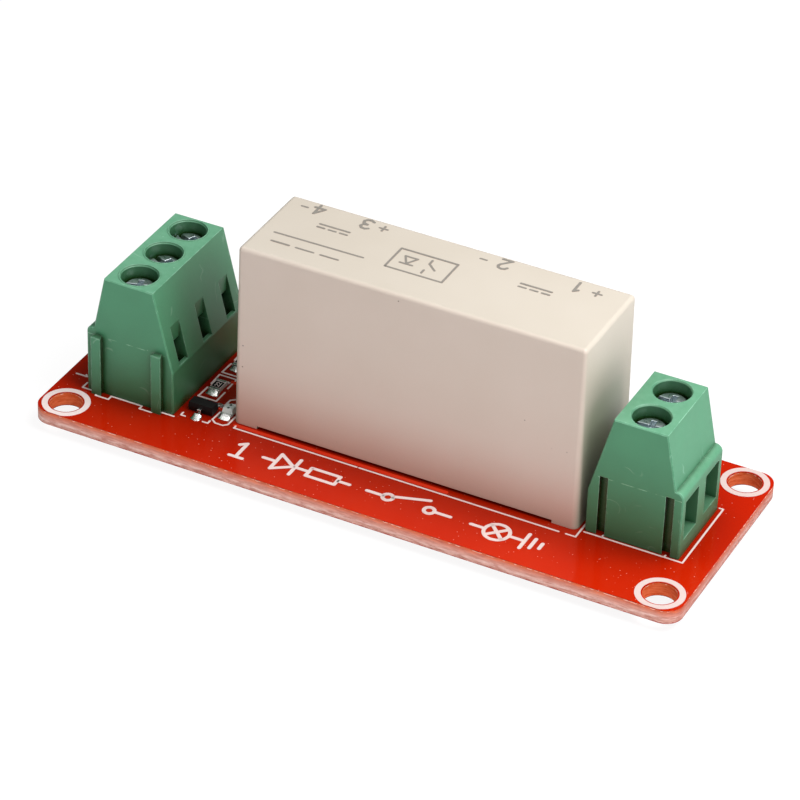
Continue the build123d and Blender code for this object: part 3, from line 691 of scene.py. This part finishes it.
# %% Digits as strokes
ADVANCE = 0.85
DIGITS = {
    "1": [[(-0.2, 0.3), (0.02, 0.5), (0.02, -0.5)]],
    "2": [[(-0.3, 0.28), (-0.2, 0.44), (0, 0.5), (0.2, 0.44), (0.29, 0.26), (0.22, 0.06), (-0.3, -0.5),
           (0.32, -0.5)]],
    "3": [[(-0.28, 0.38), (-0.1, 0.5), (0.14, 0.47), (0.27, 0.28), (0.2, 0.1), (-0.05, 0.03)],
          [(-0.05, 0.03), (0.24, -0.08), (0.3, -0.28), (0.16, -0.45), (-0.08, -0.5), (-0.3, -0.38)]],
    "4": [[(0.12, -0.5), (0.12, 0.5), (-0.32, -0.18), (0.34, -0.18)]],
    "7": [[(-0.3, 0.5), (0.3, 0.5), (-0.08, -0.5)]]}


def digits(text, x, y, height, turn):
    """Polylines of a number, centred on a place in mm and turned by an angle in degrees."""
    c, s = math.cos(math.radians(turn)) * height, math.sin(math.radians(turn)) * height
    lines = []
    for place, digit in enumerate(text):
        shift = ADVANCE * (place - (len(text) - 1) / 2)
        lines += [[(x + c * (u + shift) - s * v, y + s * (u + shift) + c * v) for u, v in line]
                  for line in DIGITS[digit]]
    return lines


print("digits:", " ".join(DIGITS))

# %% [markdown]
# ## White print on the board
# The print outlines the parts and frames the mounting holes with rings. A ring would stand over the
# board's edge, so its points are held back to a limit. The front edge has the plain numeral of the
# channel and a row of circuit symbols: a lamp diode with its resistor, a switch, a load, and the sign
# for earth. Each pole of the input has its numeral.

# %% Part outlines
TOP = board_top / MM
INK_Z, INK = TOP + 0.01, plain["white_board_ink"]
OUTLINES = [
    [(-16.4, -5.9), (-16.4, -6.37), (-2.0, -6.37)], [(-1.7, -6.37), (20.9, -6.37)],
    [(21.7, -6.34), (22.76, -6.34), (22.76, 8.05), (-16.4, 8.05), (-16.4, 7.3)],
    [(23.15, -5.14), (33.93, -5.14), (33.93, 5.28), (33.5, 5.28)],
    [(25.1, -5.14), (25.1, -4.75)], [(31.95, -5.14), (31.95, -4.8)],
    [(-33.95, -6.6), (-33.95, -7.57), (-32.0, -7.57), (-32.0, -8.2), (-30.45, -8.2), (-30.45, -7.57),
     (-26.75, -7.57), (-26.75, -8.1), (-25.3, -8.1), (-25.3, -7.57), (-22.9, -7.57)],
    [(-33.95, 7.0), (-33.95, 7.9), (-22.7, 7.9), (-22.7, 7.0)],
    [(-22.49, -1.1), (-22.55, -2.98), (-20.41, -2.98), (-20.41, -1.1)],
    [(-22.49, -0.3), (-22.55, 1.6), (-20.5, 1.6), (-20.5, -0.3)],
    [(-22.49, 4.0), (-22.55, 2.12), (-20.41, 2.12), (-20.41, 4.0)],
    [(-22.49, 4.8), (-22.55, 6.7), (-20.5, 6.7), (-20.5, 4.8)],
    [(-19.05, -4.54), (-19.12, -6.1), (-18.6, -6.5), (-17.65, -6.53), (-17.24, -6.12), (-17.22, -4.54)],
    [(-19.27, -3.62), (-19.2, -2.1), (-18.7, -1.65), (-17.6, -1.65), (-17.1, -2.1), (-17.1, -3.62)],
    [(-22.4, -6.45), (-22.4, -6.95), (-21.9, -6.95)], [(-19.2, -6.45), (-19.2, -6.95), (-19.8, -6.95)]]
draw("printed_outlines", OUTLINES, INK_Z, "board", pen=0.2, thickness=0.03, finish=INK)

# %% Rings round the mounting holes
EDGE_GAP = 0.04 * MM
tree, size = start_tree("printed_ring", "Radius", "Pen width", "Thickness", Limit="Vector")
loop = add(tree, "GeometryNodeCurvePrimitiveCircle", {"Resolution": 96, "Radius": size["Radius"]})
pen = add(tree, "GeometryNodeCurvePrimitiveQuadrilateral", {
    "Width": size["Pen width"], "Height": size["Thickness"]})
band = add(tree, "GeometryNodeCurveToMesh", {"Curve": loop, "Profile Curve": pen})
bands = add(tree, "GeometryNodeRealizeInstances", {"Geometry": on_points(tree, size["Geometry"], band)})
capped = add(tree, "ShaderNodeVectorMath", {0: add(tree, "GeometryNodeInputPosition"), 1: size["Limit"]},
             operation="MINIMUM")
lower = add(tree, "ShaderNodeVectorMath", {0: size["Limit"], 1: (-1, -1, -1)}, operation="MULTIPLY")
inside = add(tree, "ShaderNodeVectorMath", {0: capped, 1: lower}, operation="MAXIMUM")
trimmed = add(tree, "GeometryNodeSetPosition", {"Geometry": bands, "Position": inside})
printed_ring = end_tree(tree, trimmed, size["Finish"])
holes = [(sx * hole_x / MM, sy * hole_y / MM, INK_Z) for sx in (-1, 1) for sy in (-1, 1)]
grow(printed_ring, "printed_hole_rings", holes, "board", Radius=2.25 * MM, Pen_width=0.64 * MM,
     Thickness=0.03 * MM, Limit=(board_high.x - EDGE_GAP, board_high.y - EDGE_GAP, 0.1), Finish=INK)

# %% Symbols on the front edge, and pole numerals
foot, cap, mid = -10.8, -8.2, -9.5
SYMBOLS = [
    [(-14.5, foot), (-13.0, foot)], [(-14.4, cap - 0.5), (-13.75, cap), (-13.75, foot)],
    [(-11.2, mid), (-9.7, mid)], [(-9.7, cap + 0.1), (-9.7, foot - 0.1), (-7.7, mid), (-9.7, cap + 0.1)],
    [(-7.5, cap + 0.1), (-7.5, foot - 0.1)], [(-7.5, mid), (-5.9, mid)],
    [(-5.9, mid + 0.75), (-2.6, mid + 0.75), (-2.6, mid - 0.75), (-5.9, mid - 0.75), (-5.9, mid + 0.75)],
    [(-2.6, mid), (-1.2, mid)],
    [(0.8, mid), (2.6, mid)], ring(3.2, mid, 0.55, 20), [(3.7, mid + 0.35), (7.3, cap + 0.25)],
    ring(7.9, mid, 0.55, 20), [(8.5, mid), (10.3, mid)],
    [(12.6, mid), (14.1, mid)], ring(15.5, mid, 1.35, 36), [(14.6, mid - 0.9), (16.4, mid + 0.9)],
    [(14.6, mid + 0.9), (16.4, mid - 0.9)], [(16.9, mid), (18.6, mid)],
    [(18.6, cap), (18.6, foot)], [(19.5, cap - 0.45), (19.5, foot + 0.45)],
    [(20.4, cap - 0.85), (20.4, foot + 0.85)]]
draw("printed_front_symbols", SYMBOLS, INK_Z, "board", pen=0.4, thickness=0.03, finish=INK)
poles = [line for number, y in (("1", -5.6), ("2", 0.1), ("3", 5.2))
         for line in digits(number, -35.2, y, 1.3, -90)]
draw("printed_pole_numerals", poles, INK_Z, "board", pen=0.2, thickness=0.03, finish=INK)

# %% [markdown]
# ## Print on the relay
# The top of the relay is pad-printed in a thin grey with its pin numbers, its polarity signs and plain
# symbols: direct current, and a lamp diode that drives a switch. All of it reads from the far side of
# the board.

# %% Relay print
case_top = centre("relay_case")[2]
GREY = plain["grey_printing_ink"]
PIN_NUMBERS = (("4", -12.95, 5.3), ("3", -7.4, 5.25), ("2", 8.25, 5.25), ("1", 16.4, 5.05))
numbers = [line for number, x, y in PIN_NUMBERS for line in digits(number, x, y, 1.75, 180)]
draw("relay_pin_numbers", numbers, case_top + 0.01, "relay_case", pen=0.3, thickness=0.024, finish=GREY)
RELAY_PRINT = [
    [(-14.9, 5.15), (-14.2, 5.15)], [(-5.95, 5.3), (-5.05, 5.3)], [(-5.5, 4.85), (-5.5, 5.75)],
    [(5.6, 5.1), (6.3, 5.1)], [(18.2, 4.9), (19.15, 4.9)], [(18.67, 4.45), (18.67, 5.35)],
    [(-14.9, -0.73), (-4.8, -0.64)],
    [(-11.6, 2.95), (-8.2, 2.95)], [(-11.6, 2.35), (-10.8, 2.35)], [(-10.3, 2.35), (-9.5, 2.35)],
    [(-9.0, 2.35), (-8.2, 2.35)],
    [(11.2, 2.9), (14.6, 2.9)], [(11.2, 2.3), (12.0, 2.3)], [(12.5, 2.3), (13.3, 2.3)],
    [(13.8, 2.3), (14.6, 2.3)],
    [(-2.2, -0.9), (4.2, -0.9), (4.2, 2.9), (-2.2, 2.9), (-2.2, -0.9)],
    [(-1.2, 1.8), (0.2, 1.8), (-0.5, 0.5), (-1.2, 1.8)], [(-1.2, 0.45), (0.2, 0.45)],
    [(1.6, 2.3), (1.6, 1.6), (2.6, 0.7)], [(1.6, -0.3), (1.6, 0.3)],
    [(-14.4, -2.3), (-12.4, -2.3)], [(-11.6, -2.3), (-9.6, -2.3)], [(-8.8, -2.3), (-6.8, -2.3)]]
draw("relay_print_lines", RELAY_PRINT, case_top + 0.009, "relay_case", pen=0.24, thickness=0.024, finish=GREY)

# %% [markdown]
# ## Copper under the lacquer
# Tracks are strips of copper 0.035 mm thick under the solder mask, so they show as slightly raised,
# slightly lighter bands. The tracks on the underside join the terminal pins to the relay and carry
# the load in bands 3 mm wide. They are drawn a little thicker than they are, so that their edges show.

# %% Track finish
covered_copper, tree, surface, place = start_material("red_solder_mask_over_copper", **WARM_GLOSS)
cloud, tone = clouded(tree, place, 6, "#D2270F", "#E03A1E")
gloss = add(tree, "ShaderNodeMapRange", {"Value": cloud, "To Min": 0.14, "To Max": 0.2})
feed(tree, surface, Base_Color=tone, Roughness=gloss)
print("copper:", len(tree.nodes), "nodes")

# %% Tracks
def pin_place(node):
    """Middle of a CAD pin in mm, from the box of its node's lowest part."""
    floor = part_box(node)[0].z + 0.2 * MM
    tips = [v.co for v in nodes[node].data.vertices if v.co.z < floor]
    xs, ys = [c.x for c in tips], [c.y for c in tips]
    return (min(xs) + max(xs)) / 2 / MM, (min(ys) + max(ys)) / 2 / MM


terminal_pins = [pin_place(f"terminal_contact_{n}") for n in range(1, 6)]
relay_pins = [pin_place(f"relay_pin_{n}") for n in range(1, 5)]
near_in, mid_in, far_in, near_out, far_out = terminal_pins
load_1, load_2, control_3, control_4 = relay_pins
LOAD_TRACKS = [[load_1, (17.9, far_out[1]), far_out],
               [load_2, (load_2[0], -1.6), (11.2, -4.3), (22.6, -4.3), near_out]]
SIGNAL_TRACKS = [[far_in, (-13.6, far_in[1]), (control_4[0], 4.3), control_4],
                 [mid_in, (-22.6, -2.4), (-9.3, -2.4), (control_3[0], -0.9), control_3],
                 [near_in, (-20.4, near_in[1]), (-18.9, -6.5), (-15.2, -6.5)]]
TOP_TRACKS = [[(-21.5, -0.7), (-21.5, 0.6)], [(-19.8, -3.9), (-18.2, -3.9)], [(-17.0, 5.6), (-20.7, 5.6)],
              [(-16.5, -5.85), (8.0, -5.85)], [(-20.6, 1.0), (-18.0, 1.0), (-18.0, -2.6)]]
for name, paths, z, width, thickness in (("load_tracks", LOAD_TRACKS, -0.02, 3.0, 0.05),
                                         ("signal_tracks", SIGNAL_TRACKS, -0.02, 1.0, 0.05),
                                         ("top_tracks", TOP_TRACKS, TOP + 0.002, 0.5, 0.04)):
    draw(name, paths, z, "board", width, thickness, covered_copper)

# %% [markdown]
# ## Solder on the underside
# Molten solder climbs a pin in a hollow cone: wide and thin at the pad, narrow and steep at the pin.
# The tree pulls a cylinder's rings to that curve, a power of the height, and sets one on every pin.
# A second, plain cylinder is the solder inside the plated hole.

# %% Solder joint tree
HOLLOW = 2.6
tree, size = start_tree("solder_joint", "Pad radius", "Neck radius", "Hole radius", "Climb", "Board")
cone = add(tree, "GeometryNodeMeshCylinder", {
    "Vertices": 40, "Side Segments": 10, "Fill Segments": 4, "Radius": 1.0, "Depth": 1.0})
at = add(tree, "ShaderNodeSeparateXYZ", {0: add(tree, "GeometryNodeInputPosition")})
down = add(tree, "ShaderNodeMath", {0: 0.5, 1: at.outputs["Z"]}, operation="SUBTRACT")
up = add(tree, "ShaderNodeMath", {0: at.outputs["Z"], 1: 0.5}, operation="ADD")
hollow = add(tree, "ShaderNodeMath", {0: up, 1: HOLLOW}, operation="POWER")
extra = add(tree, "ShaderNodeMath", {0: size["Pad radius"], 1: size["Neck radius"]}, operation="SUBTRACT")
radius = add(tree, "ShaderNodeMath", {0: hollow, 1: extra, 2: size["Neck radius"]}, operation="MULTIPLY_ADD")
depth = add(tree, "ShaderNodeMath", {0: down, 1: size["Climb"]}, operation="MULTIPLY")
x, y, z = (add(tree, "ShaderNodeMath", {0: way, 1: times}, operation="MULTIPLY")
           for way, times in ((at.outputs["X"], radius), (at.outputs["Y"], radius), (depth, -1.0)))
flare = add(tree, "ShaderNodeCombineXYZ", {0: x, 1: y, 2: z})
climbed = add(tree, "GeometryNodeSetPosition", {"Geometry": cone, "Position": flare})
barrel = add(tree, "GeometryNodeMeshCylinder", {
    "Vertices": 32, "Radius": size["Hole radius"], "Depth": size["Board"]})
half_board = add(tree, "ShaderNodeMath", {0: size["Board"], 1: 0.5}, operation="MULTIPLY")
joint = add(tree, "GeometryNodeJoinGeometry", {0: [climbed, lift(tree, barrel, half_board)]})
solder_joint = end_tree(tree, on_points(tree, size["Geometry"], joint), size["Finish"])

# %% Joints of the terminals and the relay
for name, places, hole, node in (("terminal_joints", terminal_pins, 0.7, "terminal_solder_joints"),
                                 ("relay_joints", relay_pins, 0.65, "relay_solder_joints")):
    piece = grow(solder_joint, name, [(*place, 0) for place in places], "solder",
                 Pad_radius=(hole + 0.5) * MM, Neck_radius=(hole - 0.1) * MM, Hole_radius=hole * MM,
                 Climb=0.9 * MM, Board=board_top, Finish=metal["bright_solder"])
    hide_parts(node)

# %% [markdown]
# ## Solder on the small parts
# At the end of a chip, solder runs down from the plated cap to the pad in a hollow slope, round at its
# outer corners. The tree takes a finely cut box of one unit and lifts its upper face by that curve. Its
# far end is drawn in towards the corners. Every point of the seed carries its own width, reach and
# rise as an attribute, and its turn, so that one tree serves chips, lamp and transistor leads.

# %% Fillet tree
ROUND_CORNER, DRAW_IN = 5.0, -0.25
tree, size = start_tree("solder_fillet", "Curve", "Skin")
brick = add(tree, "GeometryNodeMeshCube", {"Size": (2.0, 1.0, 1.0), "Vertices X": 25, "Vertices Y": 17,
                                           "Vertices Z": 2})
at = add(tree, "ShaderNodeSeparateXYZ", {0: add(tree, "GeometryNodeInputPosition")})
across = at.outputs["X"]
along = add(tree, "ShaderNodeMath", {0: at.outputs["Y"], 1: 0.5}, operation="ADD")
upper = add(tree, "ShaderNodeMath", {0: at.outputs["Z"], 1: 0.0}, operation="GREATER_THAN")
left = add(tree, "ShaderNodeMath", {0: 1.0, 1: along}, operation="SUBTRACT")
slope = add(tree, "ShaderNodeMath", {0: left, 1: size["Curve"]}, operation="POWER")
wide = add(tree, "ShaderNodeMath", {0: across}, operation="ABSOLUTE")
spread = add(tree, "ShaderNodeMath", {0: wide, 1: ROUND_CORNER}, operation="POWER")
inside = add(tree, "ShaderNodeMath", {0: 1.0, 1: spread}, operation="SUBTRACT")
lifted = add(tree, "ShaderNodeMath", {0: slope, 1: inside}, operation="MULTIPLY")
height = add(tree, "ShaderNodeMath", {0: lifted, 1: size["Skin"]}, operation="ADD")
bend = add(tree, "ShaderNodeMath", {0: across, 1: across}, operation="MULTIPLY")
shorter = add(tree, "ShaderNodeMath", {0: bend, 1: DRAW_IN, 2: 1.0}, operation="MULTIPLY_ADD")
x, y, z = (add(tree, "ShaderNodeMath", {0: way, 1: times}, operation="MULTIPLY")
           for way, times in ((across, 0.5), (along, shorter), (upper, height)))
form = add(tree, "ShaderNodeCombineXYZ", {0: x, 1: y, 2: z})
run = add(tree, "GeometryNodeSetPosition", {"Geometry": brick, "Position": form})
turn = add(tree, "GeometryNodeInputNamedAttribute", {"Name": "turn"}, data_type="FLOAT")
extent = add(tree, "GeometryNodeInputNamedAttribute", {"Name": "extent"}, data_type="FLOAT_VECTOR")
set_down = on_points(tree, size["Geometry"], run, Scale=extent,
                     Rotation=add(tree, "ShaderNodeCombineXYZ", {2: turn}))
solder_fillet = end_tree(tree, set_down, size["Finish"])

# %% [markdown]
# The fillets' places come from the CAD solder, whose mesh falls into nine loose parts once vertices at
# one place count as one. A lead's joint is larger than in CAD, because the solder wets its whole pad.

# %% Loose parts
def loose_parts(mesh):
    """Low and high corner of every loose part of a mesh, in mm. Vertices at one place count as one."""
    owner = list(range(len(mesh.vertices)))

    def root(i):
        while owner[i] != i:
            owner[i] = owner[owner[i]]
            i = owner[i]
        return i

    first = {}
    for vertex in mesh.vertices:
        spot = tuple(round(c / MM, 3) for c in vertex.co)
        owner[root(vertex.index)] = root(first.setdefault(spot, vertex.index))
    for a, b in (edge.vertices for edge in mesh.edges):
        owner[root(a)] = root(b)
    parts = {}
    for vertex in mesh.vertices:
        parts.setdefault(root(vertex.index), []).append(vertex.co / MM)
    return [([min(c[i] for c in cs) for i in range(3)], [max(c[i] for c in cs) for i in range(3)])
            for cs in parts.values()]


solder_parts = loose_parts(nodes["small_part_solder"].data)
print(len(solder_parts), "loose parts")

# %% Nine fillets
LEAD_WIDTH = 0.6
chips = [centre(name) for name in ("chip_resistor_1", "chip_resistor_2", "indicator_base", "transistor_body")]
points, turns, extents = [], [], []
for low, high in solder_parts:
    x, y = (low[0] + high[0]) / 2, (low[1] + high[1]) / 2
    chip = min(chips, key=lambda chip: math.hypot(chip[0] - x, chip[1] - y))
    outward = y > chip[1]
    points.append((x, low[1] if outward else high[1], TOP))
    turns.append(0.0 if outward else math.pi)
    width, length, rise = (h - l for l, h in zip(low, high))
    if width < LEAD_WIDTH:
        extent = (1.1, length * 2.5, rise * 2.4)
    else:
        extent = (width * 1.15, length * 1.25, rise)
    extents.append(tuple(v * MM for v in extent))
    print("solder at", round(x, 2), round(y, 2), "size", [round(v, 2) for v in (width, length, rise)])
piece = grow(solder_fillet, "small_part_fillets", points, "solder", extents=extents, turns=turns,
             Curve=1.8, Skin=0.1, Finish=metal["bright_solder"])
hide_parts("small_part_solder")

# %% [markdown]
# ## Tops of the small parts
# A chip resistor has a black glaze over its resistive film, with a printed frame and a plain value of
# two digits. The glaze is a flat box that stands on each resistor. Two dark spots in the top of the
# lamp's lens stand for what shows through it: the die and the end of its bond wire.

# %% Glaze and values
GLAZE, FRAME_X, FRAME_Y = (1.22, 1.26, 0.03), 0.57, 0.6
CORNERS = [(-1, -1), (1, -1), (1, 1), (-1, 1)]
tree, size = start_tree("slab", Size="Vector")
slab = add(tree, "GeometryNodeMeshCube", {"Size": size["Size"]})
slabs = end_tree(tree, on_points(tree, size["Geometry"], slab), size["Finish"])
tops, frames = [], []
for number, value in ((1, "22"), (2, "47")):
    x, y, top = centre(f"chip_resistor_{number}")
    glaze_z = top + GLAZE[2] / 2
    tops.append((x, y, glaze_z))
    frames.append([(x + FRAME_X * i, y + FRAME_Y * j) for i, j in CORNERS + CORNERS[:1]])
    frames += digits(value, x, y, 0.5, 90)
grow(slabs, "resistor_glaze", tops, "ceramic", Size=tuple(v * MM for v in GLAZE),
     Finish=plain["black_resistor_glaze"])
draw("resistor_print", frames, glaze_z + 0.017, "ceramic", pen=0.07, thickness=0.012, finish=INK)

# %% Lamp dies
x, y, top = centre("indicator_lens")
DIES = [[(x - 0.02, y - 0.3), (x + 0.02, y - 0.28)], [(x - 0.02, y + 0.22), (x + 0.02, y + 0.24)]]
draw("lamp_dies", DIES, top - 0.02, "chip_black", pen=0.26, thickness=0.05, finish=plain["dark_lamp_die"])

# %% [markdown]
# ## The room it stands in
# The floor is plain and pale. Light Path makes it white to the camera and to mirrored rays, and it
# keeps a soft shadow. A soft lamp hangs overhead, a little to the right, one lights the front, and a
# weak one stands on the right. The world is a pale dome that is brighter on the side of the window.
# Glossy rays see it bright only overhead and dark below, as the lacquer and the screws do in a studio
# with black curtains round the table.

# %% Floor
REACH, floor_z = 3, cad_box[0].z
mesh = bpy.data.meshes.new("floor")
mesh.from_pydata([(i * REACH, j * REACH, floor_z) for i, j in CORNERS], [], [(0, 1, 2, 3)])
floor = bpy.data.objects.new("floor", mesh)
bpy.context.scene.collection.objects.link(floor)
paper = bpy.data.materials.new("white_paper")
paper.use_nodes = True
tree = paper.node_tree
tree.nodes.clear()
matt, dim = (add(tree, "ShaderNodeBsdfDiffuse", {"Color": (grey, grey, grey, 1)}) for grey in (0.9, 0.16))
glow = add(tree, "ShaderNodeEmission", {"Strength": 0.9})
both = add(tree, "ShaderNodeAddShader", {0: dim, 1: glow})
seen = add(tree, "ShaderNodeLightPath").outputs
pick = add(tree, "ShaderNodeMath", {0: seen["Is Camera Ray"], 1: seen["Is Transmission Ray"]},
           operation="MAXIMUM")
white = add(tree, "ShaderNodeMath", {0: pick, 1: seen["Is Glossy Ray"]}, operation="MAXIMUM")
mixed = add(tree, "ShaderNodeMixShader", {0: white, 1: matt, 2: both})
add(tree, "ShaderNodeOutputMaterial", {"Surface": mixed})
floor.data.materials.append(paper)
print("floor at", round(floor_z / MM, 2), "mm")

# %% World
world = bpy.data.worlds.new("pale_room")
bpy.context.scene.world = world
world.use_nodes = True
tree = world.node_tree
tree.nodes.clear()
heading = add(tree, "ShaderNodeTexCoord").outputs["Generated"]
height = add(tree, "ShaderNodeSeparateXYZ", {0: heading}).outputs["Z"]
to_window = add(tree, "ShaderNodeVectorMath", {0: heading, 1: (0.55, -0.35, 0.76)}, operation="DOT_PRODUCT")
fill = add(tree, "ShaderNodeMapRange", {"Value": to_window, "From Min": -0.2, "From Max": 0.95,
                                        "To Min": 0.02, "To Max": 0.5})
mirrored = add(tree, "ShaderNodeMapRange", {"Value": height, "From Min": 0.58, "From Max": 0.9,
                                            "To Min": 0.05, "To Max": 1.4})
seen = add(tree, "ShaderNodeLightPath").outputs
lit = add(tree, "ShaderNodeMix", {0: seen["Is Glossy Ray"], 2: fill, 3: mirrored})
strength = add(tree, "ShaderNodeMix", {0: seen["Is Camera Ray"], 2: lit, 3: 1.0})
add(tree, "ShaderNodeOutputWorld", {"Surface": add(tree, "ShaderNodeBackground", {
    "Color": (1, 1, 1, 1), "Strength": strength})})
print("world:", len(tree.nodes), "nodes")

# %% Lamps
for name, place, size, power in (("overhead_softbox", (0.1, 0.0, 0.19), 0.15, 0.5),
                                 ("right_softbox", (0.35, -0.05, 0.17), 0.24, 0.05),
                                 ("front_softbox", (-0.05, -0.47, 0.2), 0.24, 0.35)):
    data = bpy.data.lights.new(name, "AREA")
    data.size, data.energy = size, power
    light = bpy.data.objects.new(name, data)
    bpy.context.scene.collection.objects.link(light)
    facing = Vector(place).to_track_quat("Z", "Y").to_matrix().to_4x4()
    light.matrix_world = Matrix.Translation(place) @ facing
    print(name, power, "W")

# %% [markdown]
# ## Camera
# The view is that of the photograph: from the front right, a third of the way up, with a long lens.
# The angles and the distance come from fitting a pinhole camera to measured corners of the board.

# %% Camera
FOCAL_PIXELS, IMAGE_PIXELS, SENSOR = 3872.43, 800, 36
DISTANCE, TARGET = 398.87, Vector((-0.41, 0, 6.71))
azimuth, elevation, roll = (math.radians(angle) for angle in (25.88, 34.25, 1.98))
back = Vector((math.sin(azimuth) * math.cos(elevation), -math.cos(azimuth) * math.cos(elevation),
               math.sin(elevation)))
right = Vector((math.cos(azimuth), math.sin(azimuth), 0))
up = back.cross(right)
right, up = right * math.cos(roll) + up * math.sin(roll), up * math.cos(roll) - right * math.sin(roll)
camera_data = bpy.data.cameras.new("camera")
camera_data.sensor_width = SENSOR
camera_data.lens = FOCAL_PIXELS / IMAGE_PIXELS * SENSOR
camera_data.clip_start, camera_data.clip_end = 0.01, 10
camera = bpy.data.objects.new("camera", camera_data)
bpy.context.scene.collection.objects.link(camera)
spot = TARGET * MM + back * DISTANCE * MM
camera.matrix_world = Matrix.Translation(spot) @ Matrix((right, up, back)).transposed().to_4x4()
bpy.context.scene.camera = camera
bpy.context.scene.view_settings.view_transform = "Standard"
print("camera at", [round(v, 4) for v in spot])

# %% [markdown]
# ## Measure and finish
# Only the ink may stand out over the CAD model, by a few hundredths of a millimetre. The CAD model's
# box is printed.

# %% Finish
print("CAD", [[round(v / MM, 2) for v in corner] for corner in cad_box])
